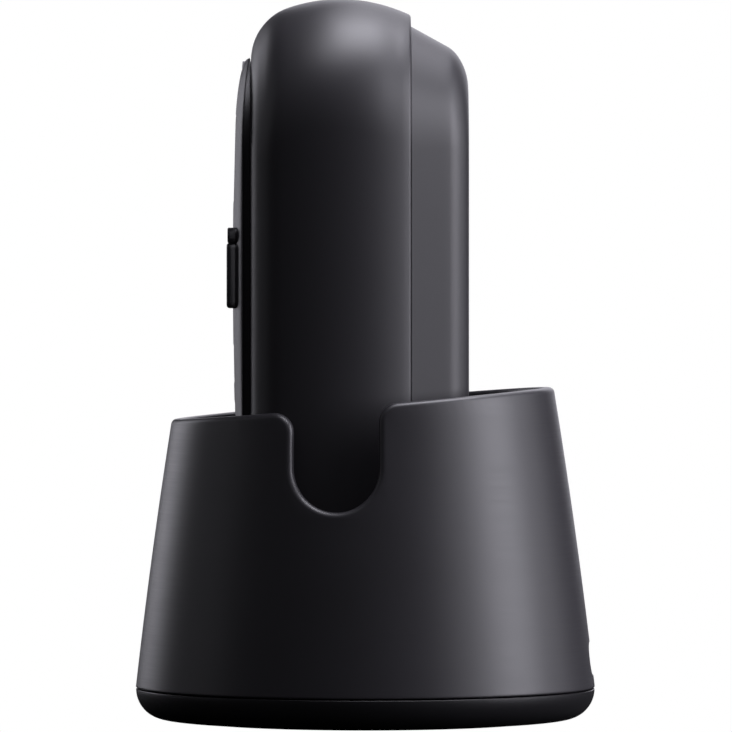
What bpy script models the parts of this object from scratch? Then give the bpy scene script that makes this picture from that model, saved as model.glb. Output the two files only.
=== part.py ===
"""Cordless phone standing in its round charging base.

Frame: metres, +Z up, origin at the centre of the base on the surface it stands on.
The keypad faces -Y and +X is the phone's width. All drawing below is in millimetres.
"""
import math

import bmesh
import bpy
from mathutils import Matrix, Vector

MM = 0.001
GAP = 0.3                       # clearance between neighbouring solids

# Base: a flared round cup on a rounded bottom pan
SEAM_Z = 4.9                    # joint between the cup wall and the bottom pan
SEAM_RADIUS = 34.45
TAPER_TOP_Z = 50.8              # height at which the wall taper is stated
TAPER_TOP_RADIUS = 28.1
WALL_BULGE = 0.3                # how far the wall bows out of a straight taper
WALL = 1.8
RIM_Z = 47.6                    # slanted rim: its height on the axis
RIM_SLOPE = 0.083               # and its rise towards +Y
NOTCH_Y = -4.4                  # finger notch on each side
NOTCH_BOTTOM = 32.0
NOTCH_RADIUS = 6.5
NOTCH_CORNER = 2.8
PAN_BOTTOM = 0.3
PAN_EDGE = 4.35                 # the pan's side is a quarter of an ellipse this wide
FOOT_RADIUS = 27.0
FOOT_WIDTH = 3.5
FOOT_THICK = 0.9
DECK_TOP = 30.0                 # deck around the pocket that the handset stands in
DECK_THICK = 1.5
POCKET_FLOOR = 11.7
POCKET_GAP = 0.6
POCKET_WALL = 1.2
BASE_SIDES = 60

# Handset
BOTTOM = POCKET_FLOOR + GAP
TOP = 108.0
BAND_FRONT = -17.1              # body band, between the front plate and the back shell
BAND_BACK = 6.8
HALF_WIDTH = 23.0
SIDE_RADIUS = 25.3              # plan radius of the bowed side
SIDE_Y = -6.4                   # where the side is widest
FRONT_CORNER = 4.5
CROWN_Y = -3.67                 # domed top
CROWN_RADIUS = 24.75
CROWN_CORNER = 8.0
SHOULDER = 20.0                 # corner radius seen from the front
TOE = 5.0
SHELL = 1.6
BACK = 15.4
BACK_TOP_Z = 104.1              # sloping top of the back shell
BACK_TOP_FALL = 1.5             # its rear corner is this much taller than deep
BACK_SLOPE = 0.55
BACK_SIDE_SLOPE = 0.566
BACK_CORNER = 3.0

# Front plate
PLATE_HALF = 16.5
PLATE_TOP = 99.2
PLATE_BOTTOM = 14.5
PLATE_FRONT = -19.65
PLATE_REAR = -18.1
PLATE_PEAK_Z = 67.0
PLATE_STRAIGHT_Z = 47.0         # below this height the plate is straight and leans back
PLATE_LEAN = 0.03
PLATE_BOW = 0.00068
PLATE_ROLL = 12.0               # height over which its ends roll over
PLATE_EDGE = 0.15               # thickness left at the very ends
PLATE_CLOSING = 14.0            # height over which the shadow gap closes,
PLATE_CLOSE_BY = 0.8            # and by how much
PLATE_TOP_CORNER = 13.0
PLATE_BOTTOM_CORNER = 6.0
NECK_HALF = 14.6
NECK_TOP = 98.5
NECK_BOTTOM = 17.4
NECK_WALL = 1.2
NECK_TOP_CORNER = 13.0
NECK_BOTTOM_CORNER = 4.0
NECK_REAR = -15.4

# Keys and openings in the plate: (name,) centre x, centre z, half width, half height
KEY_PITCH_X = 8.8
KEY_PITCH_Z = 8.4
KEY_TOP_ROW = 53.6
DIGIT_NAMES = ("1", "2", "3", "4", "5", "6", "7", "8", "9", "star", "0", "hash")
KEYS = [
    (f"key_{label}", (index % 3 - 1) * KEY_PITCH_X, KEY_TOP_ROW - (index // 3) * KEY_PITCH_Z, 3.7, 3.0)
    for index, label in enumerate(DIGIT_NAMES)
]
CALL_KEYS = [("talk_key", -10.0, 66.65, 2.6, 3.4), ("end_key", 10.0, 66.65, 2.6, 3.4)]
KEY_CORNER = 1.4
KEY_SINK = 0.05                 # a key's face lies this far below the surface around it
PANEL = (0.0, 66.65, 13.5, 4.85)    # raised panel that holds the rocker and the call keys
PANEL_FRONT = -20.57
RIDGE = (0.0, 72.6, 13.6, 1.15)     # ridge above it, whose middle is the softkey bar
RIDGE_FRONT = -20.43
SOFTKEY = (0.0, 72.75, 10.0, 1.0)
ROCKER = (0.0, 66.65, 5.9, 3.9)
OK_HALF = 1.9
FLANGE = 0.5
FLANGE_FRONT = -17.75
FLANGE_BACK = -17.15
LENS = (0.0, 83.8, 12.6, 6.9)
LENS_SEAT = -18.55
EARPIECE = (0.0, 93.6, 5.0, 0.8)
GRILLE_SEAT = -18.4
GRILLE_THICK = 0.25
MIC_Z = 20.9

# Fasteners: (x, y) in the base, (x, z) in the handset
BASE_SCREWS = [(16.0, 10.5), (-16.0, 10.5), (15.0, -13.0), (-15.0, -13.0)]
HANDSET_SCREWS = [(8.2, 87.5), (-8.2, 87.5), (7.5, 15.6), (-7.5, 15.6)]
SCREW_SHANK = 0.9
SCREW_HEAD = 1.8
PIN_X = 5.0
PIN_Y = -2.4
INLET_Z = 9.4
DOOR = (0.0, 44.7, 9.5, 26.2)   # battery door on the back face
DOOR_SCREW_Z = 68.2
CELL_RADIUS = 5.2
RINGER_Z = 82.6


# ---------------------------------------------------------------- outlines

def arc(centre, radius, start, end, steps):
    """Points on an arc; angles in degrees, both ends included."""
    angles = [math.radians(start + (end - start) * i / steps) for i in range(steps + 1)]
    return [(centre[0] + radius * math.cos(a), centre[1] + radius * math.sin(a)) for a in angles]


def rounded(cx, cy, half_x, half_y, radius, steps=3):
    """Rounded rectangle, anticlockwise."""
    ix, iy = half_x - radius, half_y - radius
    points = []
    for sx, sy, start in ((1, 1, 0), (-1, 1, 90), (-1, -1, 180), (1, -1, 270)):
        points += arc((cx + sx * ix, cy + sy * iy), radius, start, start + 90, steps)
    return points


def tombstone(half, bottom, top, low_radius, high_radius, low_steps=3, high_steps=8):
    """Upright outline with its own corner radius at the bottom and at the top."""
    high = min(high_radius, half - 0.5)
    low = min(low_radius, half - 0.5)
    return (arc((half - high, top - high), high, 0, 90, high_steps)
            + arc((-half + high, top - high), high, 90, 180, high_steps)
            + arc((-half + low, bottom + low), low, 180, 270, low_steps)
            + arc((half - low, bottom + low), low, 270, 360, low_steps))


def circle(cx, cy, radius, sides):
    return arc((cx, cy), radius, 0, 360 * (sides - 1) / sides, sides - 1)


def side_half_width(y):
    """Half width of the body band at depth y."""
    drop = SIDE_RADIUS - math.sqrt(SIDE_RADIUS ** 2 - (y - SIDE_Y) ** 2)
    return HALF_WIDTH - drop - corner_drop(y, BAND_FRONT, FRONT_CORNER)


def corner_drop(y, face, radius):
    """How far a corner arc that ends on the front face has fallen at depth y."""
    reach = max(0.0, face + radius - y)
    return radius - math.sqrt(max(0.0, radius ** 2 - min(reach, radius) ** 2))


def crown_z(y):
    """Top of the body band at depth y: the dome, rounded over at the front."""
    centre = BAND_FRONT + CROWN_CORNER
    inner = CROWN_RADIUS - CROWN_CORNER
    lift = math.sqrt(inner ** 2 - (centre - CROWN_Y) ** 2)
    join = CROWN_Y + (centre - CROWN_Y) * CROWN_RADIUS / inner
    base = TOP - CROWN_RADIUS
    if y < join:
        return base + lift + math.sqrt(max(0.0, CROWN_CORNER ** 2 - (y - centre) ** 2))
    return base + math.sqrt(CROWN_RADIUS ** 2 - (y - CROWN_Y) ** 2)


def back_corner_drop(y):
    reach = max(0.0, y - (BACK - BACK_CORNER))
    return BACK_CORNER - math.sqrt(max(0.0, BACK_CORNER ** 2 - reach ** 2))


def back_half_width(y):
    straight = side_half_width(BAND_BACK) - BACK_SIDE_SLOPE * (y - BAND_BACK)
    return straight - back_corner_drop(y)


def back_top_z(y):
    return BACK_TOP_Z - BACK_SLOPE * (y - BAND_BACK) - BACK_TOP_FALL * back_corner_drop(y)


def band_outline(y, inset=0.0):
    return tombstone(side_half_width(y) - inset, BOTTOM + inset, crown_z(y) - inset,
                     TOE - inset, SHOULDER - inset)


def back_outline(y, inset=0.0):
    return tombstone(back_half_width(y) - inset, BOTTOM + inset + 0.4 * back_corner_drop(y),
                     back_top_z(y) - inset, TOE - inset, SHOULDER - 1.0 - inset)


def plate_front_y(z):
    """Front surface of the plate: a gentle bow, straight below the rim, rounded at both ends."""
    y = PLATE_FRONT + PLATE_BOW * (max(z, PLATE_STRAIGHT_Z) - PLATE_PEAK_Z) ** 2
    y += PLATE_LEAN * max(0.0, PLATE_STRAIGHT_Z - z)
    end = min(PLATE_TOP - z, z - PLATE_BOTTOM)
    reach = min(1.0, max(0.0, 1.0 - end / PLATE_ROLL))
    fall = plate_rear_y(z) - y - PLATE_EDGE
    return y + fall * (1.0 - math.sqrt(1.0 - reach ** 2))


def plate_rear_y(z):
    """Rear surface of the plate: it closes on the body towards both ends."""
    reach = max(0.0, z - (PLATE_TOP - PLATE_CLOSING), PLATE_BOTTOM + PLATE_CLOSING - z) / PLATE_CLOSING
    return PLATE_REAR + PLATE_CLOSE_BY * min(1.0, reach) ** 2


def wall_radius(z):
    """Outer radius of the cup wall."""
    share = (z - SEAM_Z) / (TAPER_TOP_Z - SEAM_Z)
    bulge = WALL_BULGE * 4.0 * share * (1.0 - share)
    return SEAM_RADIUS + (TAPER_TOP_RADIUS - SEAM_RADIUS) * share + bulge


def neck_outline(inset):
    """Neck that joins the plate to the body, seen from the front."""
    return tombstone(NECK_HALF - inset, NECK_BOTTOM + inset, NECK_TOP - inset,
                     NECK_BOTTOM_CORNER - inset, NECK_TOP_CORNER - inset, 3, 6)


def pocket_outline(gap):
    """Plan of the handset with a clearance: front plate, band and back shell in one outline."""
    half = [(PLATE_HALF - 2.5, PLATE_FRONT - 0.1), (PLATE_HALF, PLATE_FRONT + 0.6),
            (18.9, BAND_FRONT), (20.9, -15.8), (22.2, -12.6)]
    half += [(side_half_width(y), y) for y in (-6.4, -1.0, 3.0, BAND_BACK)]
    half += [(back_half_width(y), y) for y in (10.5, 13.4, 14.9)]
    half += [(back_half_width(BACK) + 0.6, BACK)]
    right = []
    for x, y in half:
        push = Vector((x, y * 0.9)).normalized() * gap * 1.15
        right.append((x + push.x, y + push.y))
    return right + [(-x, y) for x, y in reversed(right)]


# ---------------------------------------------------------------- solids

def add_stack(bm, loops):
    """One closed body through a stack of matching outlines, by extruding face after face."""
    face = bm.faces.new([bm.verts.new(point) for point in loops[0]])
    for loop in loops[1:]:
        made = bmesh.ops.extrude_face_region(bm, geom=[face])["geom"]
        old = face
        face = [item for item in made if isinstance(item, bmesh.types.BMFace)][0]
        for vert, point in zip(face.verts, loop):
            vert.co = point
        if old.is_valid and loop is not loops[1]:
            bm.faces.remove(old)
    return bm


def lift(points, height, axis="Z"):
    """Puts a flat outline at a height along an axis."""
    if axis == "Z":
        return [(a, b, height) for a, b in points]
    if axis == "Y":
        return [(a, height, b) for a, b in points]
    return [(height, a, b) for a, b in points]


def add_prism(bm, points, low, high, axis="Z"):
    return add_stack(bm, [lift(points, low, axis), lift(points, high, axis)])


def add_turned(bm, profile, centre, axis="Z", sides=24, ring=False):
    """Spins a profile of (radius, height); a ring's profile is closed and clear of the axis."""
    made = bmesh.new()
    verts = [made.verts.new((radius, 0, height)) for radius, height in profile]
    pairs = list(zip(verts, verts[1:])) + ([(verts[-1], verts[0])] if ring else [])
    edges = [made.edges.new(pair) for pair in pairs]
    bmesh.ops.spin(made, geom=verts + edges, axis=(0, 0, 1), cent=(0, 0, 0),
                   steps=sides, angle=math.tau, use_merge=True)
    bmesh.ops.remove_doubles(made, verts=made.verts, dist=0.001)
    if axis == "Y":
        bmesh.ops.rotate(made, verts=made.verts, cent=(0, 0, 0), matrix=Matrix.Rotation(-math.pi / 2, 3, "X"))
    bmesh.ops.translate(made, verts=made.verts, vec=centre)
    return absorb(bm, made)


def absorb(bm, other):
    """Adds another bmesh's faces to this one."""
    scratch = bpy.data.meshes.new("scratch")
    other.to_mesh(scratch)
    other.free()
    bm.from_mesh(scratch)
    bpy.data.meshes.remove(scratch)
    return bm


def plastic(name, color, roughness, metallic=0.0):
    material = bpy.data.materials.new(name)
    material.use_nodes = True
    shader = material.node_tree.nodes["Principled BSDF"]
    shader.inputs["Base Color"].default_value = (*color, 1.0)
    shader.inputs["Roughness"].default_value = roughness
    shader.inputs["Metallic"].default_value = metallic
    material.diffuse_color = (*color, 1.0)
    return material


def finish(bm, name, material, parent, origin=(0, 0, 0)):
    """Names a solid, gives it its material and origin, and puts it in the scene in metres."""
    bmesh.ops.recalc_face_normals(bm, faces=bm.faces)
    bmesh.ops.translate(bm, verts=bm.verts, vec=-Vector(origin))
    bmesh.ops.scale(bm, verts=bm.verts, vec=(MM, MM, MM))
    mesh = bpy.data.meshes.new(name)
    bm.to_mesh(mesh)
    bm.free()
    mesh.shade_smooth()
    mesh.set_sharp_from_angle(angle=math.radians(32))
    thing = bpy.data.objects.new(name, mesh)
    bpy.context.collection.objects.link(thing)
    thing.parent = parent
    thing.location = Vector(origin) * MM - parent.location
    if material:
        mesh.materials.append(material)
    return thing


def change(thing, bm, name, operation="DIFFERENCE"):
    """Cuts a hidden solid out of a piece, or joins it on."""
    cutter = finish(bm, name, None, thing.parent)
    cutter.hide_render = True
    cutter.display_type = "WIRE"
    boolean = thing.modifiers.new(name, "BOOLEAN")
    boolean.operation = operation
    boolean.object = cutter
    boolean.solver = "EXACT"


def anchor(name, height):
    empty = bpy.data.objects.new(name, None)
    bpy.context.collection.objects.link(empty)
    empty.location = (0, 0, height * MM)
    return empty


# ---------------------------------------------------------------- base

def notch_outline():
    """Finger notch from its round bottom up to its flared mouth at the slanted rim."""
    centre_z = NOTCH_BOTTOM + NOTCH_RADIUS
    bottom = arc((NOTCH_Y, centre_z), NOTCH_RADIUS, 180, 360, 14)

    def mouth(side):
        wall_y = NOTCH_Y + side * NOTCH_RADIUS
        centre_y = wall_y + side * NOTCH_CORNER
        rim = RIM_Z + RIM_SLOPE * centre_y
        start = 180 if side > 0 else 0
        turn = -90 if side > 0 else 90
        return arc((centre_y, rim - NOTCH_CORNER), NOTCH_CORNER, start, start + turn, 5)

    right = mouth(1)
    left = mouth(-1)
    return bottom + right + [(right[-1][0], 60.0), (left[-1][0], 60.0)] + left[::-1]


def base_housing(base, material):
    steps = 5
    heights = [SEAM_Z + 0.15 + (55.0 - SEAM_Z) * i / steps for i in range(steps + 1)]
    outer = [(wall_radius(z), z) for z in heights]
    inner = [(wall_radius(z) - WALL, z) for z in reversed(heights)]
    housing = finish(add_turned(bmesh.new(), outer + inner, (0, 0, 0), sides=BASE_SIDES, ring=True),
                     "base_housing", material, base)
    reach = 40.0
    edge = RIM_SLOPE * reach
    above = [(-reach, RIM_Z - edge), (reach, RIM_Z + edge), (reach, 70.0), (-reach, 70.0)]
    change(housing, add_prism(bmesh.new(), above, -reach, reach, "X"), "rim_cut")
    for side in (1, -1):
        name = "notch_cut_right" if side > 0 else "notch_cut_left"
        low, high = sorted((side * 20.0, side * 38.0))
        change(housing, add_prism(bmesh.new(), notch_outline(), low, high, "X"), name)
    slot = rounded(0, INLET_Z, 5.1, 2.3, 2.2, 4)
    change(housing, add_prism(bmesh.new(), slot, 28.0, 38.0, "Y"), "inlet_cut")
    return housing


def cradle_insert(base, material):
    bm = bmesh.new()
    low = DECK_TOP - DECK_THICK
    outline = [(wall_radius(DECK_TOP) - WALL - GAP, DECK_TOP), (wall_radius(low) - WALL - GAP, low)]
    add_turned(bm, [(0, DECK_TOP)] + outline + [(0, low)], (0, 0, 0), sides=48)
    insert = finish(bm, "cradle_insert", material, base)
    tub = add_prism(bmesh.new(), pocket_outline(POCKET_GAP + POCKET_WALL), POCKET_FLOOR - 1.5, low + 0.6)
    change(insert, tub, "tub_join", "UNION")
    bosses = bmesh.new()
    for x, y in BASE_SCREWS:
        add_prism(bosses, circle(x, y, 2.4, 16), SEAM_Z + 0.4, POCKET_FLOOR - 1.0)
    change(insert, bosses, "boss_join", "UNION")
    pocket = add_prism(bmesh.new(), pocket_outline(POCKET_GAP), POCKET_FLOOR, DECK_TOP + 5.0)
    change(insert, pocket, "pocket_cut")
    holes = bmesh.new()
    for x, y in BASE_SCREWS:
        add_prism(holes, circle(x, y, SCREW_SHANK + GAP, 12), 0.0, POCKET_FLOOR - 1.2)
    for side in (1, -1):
        add_prism(holes, circle(side * PIN_X, PIN_Y, 1.3, 12), 8.0, POCKET_FLOOR + 3.0)
    change(insert, holes, "insert_holes")


def base_bottom_pan(base, material):
    """Rounded saucer that closes the cup, with a groove for the foot ring and four screw wells."""
    top = SEAM_Z - GAP / 2
    height = top - PAN_BOTTOM
    edge = [(SEAM_RADIUS - PAN_EDGE * (1 - math.cos(a)), top - height * math.sin(a))
            for a in (math.radians(15 * i) for i in range(7))]
    outer, inner = FOOT_RADIUS + GAP, FOOT_RADIUS - FOOT_WIDTH - GAP
    groove = [(outer, PAN_BOTTOM), (outer, 1.2), (inner, 1.2), (inner, PAN_BOTTOM)]
    inside = [(0, 2.0), (31.2, 2.0), (32.4, top)]
    pan = finish(add_turned(bmesh.new(), inside + edge + groove + [(0, PAN_BOTTOM)], (0, 0, 0),
                            sides=BASE_SIDES), "base_bottom_pan", material, base)
    posts = bmesh.new()
    for x, y in BASE_SCREWS:
        add_prism(posts, circle(x, y, 3.0, 16), 1.6, SEAM_Z)
    change(pan, posts, "post_join", "UNION")
    wells = bmesh.new()
    for x, y in BASE_SCREWS:
        add_stack(wells, [lift(circle(x, y, radius, 16), z) for radius, z in
                          ((SCREW_HEAD + GAP, 0.0), (SCREW_HEAD + GAP, 2.6), (SCREW_SHANK + GAP, 2.61),
                           (SCREW_SHANK + GAP, SEAM_Z + 1.0))])
    change(pan, wells, "well_cut")


def screw(name, material, parent, centre, axis, length, turn_over=False, thick=1.2):
    """Pan-head screw with a cross recess; its head faces the outside."""
    head = [(0, 0), (SCREW_HEAD - 0.4, 0), (SCREW_HEAD, 0.35), (SCREW_HEAD, thick), (SCREW_SHANK, thick),
            (SCREW_SHANK, length - 1.0), (0, length)]
    if turn_over:
        head = [(radius, -height) for radius, height in head]
    body = finish(add_turned(bmesh.new(), head, centre, axis, sides=16), name, material, parent)
    recess = bmesh.new()
    sign = -1 if turn_over else 1
    half = 1.1
    cross = [(half, 0.2), (0.2, 0.2), (0.2, half), (-0.2, half), (-0.2, 0.2), (-half, 0.2),
             (-half, -0.2), (-0.2, -0.2), (-0.2, -half), (0.2, -half), (0.2, -0.2), (half, -0.2)]
    if axis == "Z":
        shape = [(centre[0] + a, centre[1] + b) for a, b in cross]
        start = centre[2]
    else:
        shape = [(centre[0] + a, centre[2] + b) for a, b in cross]
        start = centre[1]
    low, high = sorted((start - sign * 0.5, start + sign * 0.6))
    change(body, add_prism(recess, shape, low, high, axis), name + "_recess")


def base_inside(base, black, green, steel, gold, white):
    """Ballast, charging board, contact block with its two pins, and the power inlet."""
    ballast = [(4.0, 2.3), (16.0, 2.3), (16.0, 4.8), (4.0, 4.8)]
    finish(add_turned(bmesh.new(), ballast, (0, 0, 0), sides=36, ring=True), "ballast_plate", steel, base)
    board = rounded(0, 9.6, 9.4, 20.6, 1.0, 2)
    finish(add_prism(bmesh.new(), board, 6.0, 7.2), "charger_pcb", green, base)
    block = finish(add_prism(bmesh.new(), rounded(0, PIN_Y, 8.0, 3.2, 0.6, 2), 7.5, 9.9),
                   "contact_block", black, base)
    bores = bmesh.new()
    for side in (1, -1):
        add_prism(bores, circle(side * PIN_X, PIN_Y, 1.3, 12), 7.9, 11.0)
    change(block, bores, "pin_bores")
    for side, name in ((1, "contact_pin_right"), (-1, "contact_pin_left")):
        profile = [(0, 9.0), (0.98, 9.0), (0.98, 11.9), (0.75, 12.3), (0.4, 12.5), (0, 12.5)]
        place = (side * PIN_X, PIN_Y, 0)
        finish(add_turned(bmesh.new(), profile, place, sides=12), name, gold, base, place[:2] + (9.0,))
    back = 33.3
    shell = finish(add_prism(bmesh.new(), rounded(0, INLET_Z, 4.6, 1.8, 1.7, 4), 25.6, back, "Y"),
                   "inlet_shell", steel, base)
    change(shell, add_prism(bmesh.new(), rounded(0, INLET_Z, 4.2, 1.4, 1.3, 4), 26.4, 40.0, "Y"),
           "inlet_hollow")
    finish(add_prism(bmesh.new(), rounded(0, INLET_Z, 3.3, 0.4, 0.3, 2), 26.75, back - 0.8, "Y"),
           "inlet_tongue", white, base)


# ---------------------------------------------------------------- handset

def body_band(handset, material):
    stations = [BAND_FRONT, -16.9, -16.3, -15.2, -13.6, -11.6, -8.0, -3.7, 0.6, 4.2, BAND_BACK]
    band = finish(add_stack(bmesh.new(), [lift(band_outline(y), y, "Y") for y in stations]),
                  "body_band", material, handset)
    hollow = [-15.4, -12.6, -8.0, -3.7, 0.6, 4.2, BAND_BACK]
    loops = [lift(band_outline(y, SHELL), y, "Y") for y in hollow]
    loops.append(lift(band_outline(BAND_BACK, SHELL), BAND_BACK + 2.0, "Y"))
    change(band, add_stack(bmesh.new(), loops), "band_hollow")
    window = neck_outline(-GAP)
    change(band, add_prism(bmesh.new(), window, -25.0, -14.0, "Y"), "neck_window")
    pads = bmesh.new()
    for side in (1, -1):
        add_prism(pads, rounded(side * PIN_X, PIN_Y, 2.4, 2.2, 0.6, 2), BOTTOM - 2.0, BOTTOM + 3.0)
    change(band, pads, "pad_windows")


def key_shape(cx, cz, half_x, half_z, front, flange_z=FLANGE):
    """Cap that rises to a front surface, a function of height, with a flange behind the plate."""
    corner = min(KEY_CORNER, half_z - 0.1)
    cap = rounded(cx, cz, half_x, half_z, corner)
    flange = rounded(cx, cz, half_x + FLANGE, half_z + flange_z, corner)
    face = rounded(cx, cz, half_x - 0.3, half_z - 0.3, corner - 0.3)
    loops = [lift(flange, FLANGE_BACK, "Y"), lift(flange, FLANGE_FRONT, "Y"),
             lift(cap, FLANGE_FRONT + 0.001, "Y"),
             [(x, front(z) + 0.3, z) for x, z in cap], [(x, front(z), z) for x, z in face]]
    return add_stack(bmesh.new(), loops)


def raised(shape, front, edge):
    """Low rounded block that stands out of the plate, bevelled round its face."""
    outline = rounded(*shape, 1.0)
    face = rounded(*shape[:2], shape[2] - 0.1, shape[3] - edge, 0.9)
    return add_stack(bmesh.new(), [lift(outline, -18.9, "Y"), lift(outline, front + edge, "Y"),
                                   lift(face, front, "Y")])


def front_cover(handset, material):
    """Bowed plate that stands off the body on a narrower neck."""
    outline = tombstone(PLATE_HALF, PLATE_BOTTOM, PLATE_TOP, PLATE_BOTTOM_CORNER, PLATE_TOP_CORNER, 4, 6)
    cover = finish(add_prism(bmesh.new(), outline, -22.0, -16.0, "Y"), "front_cover", material, handset)
    low, high = PLATE_BOTTOM - 0.5, PLATE_TOP + 0.5
    ends = (0.5, 0.7, 1.3, 2.4, 4.5)
    levels = [low + e for e in ends] + [30.0, 47.0, 57.0, 67.0, 77.0, 87.0] + [high - e for e in ends[::-1]]
    front = [(plate_front_y(z), z) for z in levels]
    rear = [(plate_rear_y(z), z) for z in (high, 96.0, 92.0, 88.0, 85.0, 29.0, 26.0, 22.0, 18.0, low)]
    change(cover, add_prism(bmesh.new(), front + rear, -30.0, 30.0, "X"), "plate_bow", "INTERSECT")
    change(cover, raised(PANEL, PANEL_FRONT, 0.5), "panel_join", "UNION")
    change(cover, raised(RIDGE, RIDGE_FRONT, 0.2), "ridge_join", "UNION")
    change(cover, add_prism(bmesh.new(), neck_outline(0.0), -18.6, NECK_REAR, "Y"), "neck_join", "UNION")
    inside = neck_outline(NECK_WALL)
    change(cover, add_prism(bmesh.new(), inside, -18.05, NECK_REAR + 2.0, "Y"), "neck_hollow")
    holes = bmesh.new()
    for _, cx, cz, half_x, half_z in KEYS + CALL_KEYS:
        corner = min(KEY_CORNER, half_z - 0.1) + GAP
        add_prism(holes, rounded(cx, cz, half_x + GAP, half_z + GAP, corner, 3), -25.0, -16.0, "Y")
    cx, cz, half_x, half_z = ROCKER
    add_prism(holes, rounded(cx, cz, half_x + GAP, half_z + GAP, KEY_CORNER + GAP), -25.0, -16.0, "Y")
    add_prism(holes, rounded(*LENS[:2], LENS[2] - 1.2, LENS[3] - 1.2, 0.8, 2), LENS_SEAT - 0.1, -16.0, "Y")
    add_prism(holes, rounded(*EARPIECE, 0.7, 3), GRILLE_SEAT - 0.1, -16.0, "Y")
    add_prism(holes, circle(0, MIC_Z, 0.6, 10), -25.0, -16.0, "Y")
    change(cover, holes, "cover_openings")
    cx, cz, half_x, half_z = SOFTKEY
    slot = rounded(cx, cz, half_x + GAP, half_z + GAP, half_z)
    change(cover, add_prism(bmesh.new(), slot, -25.0, -16.0, "Y"), "softkey_opening")
    recesses = bmesh.new()
    add_prism(recesses, rounded(*LENS, 1.6, 4), -25.0, LENS_SEAT, "Y")
    cx, cz, half_x, half_z = EARPIECE
    add_prism(recesses, rounded(cx, cz, half_x + 0.8, half_z + 0.6, 1.3, 4), -25.0, GRILLE_SEAT, "Y")
    change(cover, recesses, "cover_recesses")


def display(handset, glass, dark):
    cx, cz, half_x, half_z = LENS
    fit = 0.3
    lens = rounded(cx, cz, half_x - fit, half_z - fit, 1.4, 4)
    face = rounded(cx, cz, half_x - fit - 0.2, half_z - fit - 0.2, 1.2, 4)
    loops = [lift(lens, LENS_SEAT - GAP, "Y"), [(x, plate_front_y(z) + 0.2, z) for x, z in lens],
             [(x, plate_front_y(z) + 0.05, z) for x, z in face]]
    finish(add_stack(bmesh.new(), loops), "display_lens", glass, handset)
    finish(add_prism(bmesh.new(), rounded(cx, cz, 12.0, 6.8, 0.8, 2), -17.6, -15.5, "Y"),
           "display_module", dark, handset)
    cx, cz, half_x, half_z = EARPIECE
    grille = rounded(cx, cz, half_x + 0.5, half_z + 0.3, 1.0, 4)
    front = GRILLE_SEAT - GAP - GRILLE_THICK
    finish(add_prism(bmesh.new(), grille, front, front + GRILLE_THICK, "Y"), "earpiece_grille", dark, handset)


def keys(handset, grey, green, red, black):
    colors = {"talk_key": green, "end_key": red}
    for name, *place in KEYS:
        cap = key_shape(*place, lambda z: plate_front_y(z) + KEY_SINK)
        finish(cap, name, grey, handset, (place[0], FLANGE_BACK, place[1]))
    for name, *place in CALL_KEYS:
        cap = key_shape(*place, lambda z: PANEL_FRONT + KEY_SINK)
        finish(cap, name, colors[name], handset, (place[0], FLANGE_BACK, place[1]))
    bar = key_shape(*SOFTKEY, lambda z: RIDGE_FRONT, 0.0)
    finish(bar, "softkey_bar", black, handset, (0, FLANGE_BACK, SOFTKEY[1]))
    pad = key_shape(*ROCKER, lambda z: PANEL_FRONT, 0.0)
    rocker = finish(pad, "nav_rocker", black, handset, (0, FLANGE_BACK, ROCKER[1]))
    hole = rounded(0, ROCKER[1], OK_HALF + 0.35, OK_HALF + 0.35, 1.4, 3)
    change(rocker, add_prism(bmesh.new(), hole, -25.0, -16.0, "Y"), "ok_hole")
    cap = rounded(0, ROCKER[1], OK_HALF, OK_HALF, 1.05, 3)
    face = rounded(0, ROCKER[1], OK_HALF - 0.3, OK_HALF - 0.3, 0.8, 3)
    front = PANEL_FRONT + 0.1
    loops = [lift(cap, FLANGE_BACK, "Y"), lift(cap, front + 0.3, "Y"), lift(face, front, "Y")]
    finish(add_stack(bmesh.new(), loops), "ok_key", grey, handset, (0, FLANGE_BACK, ROCKER[1]))


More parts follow.
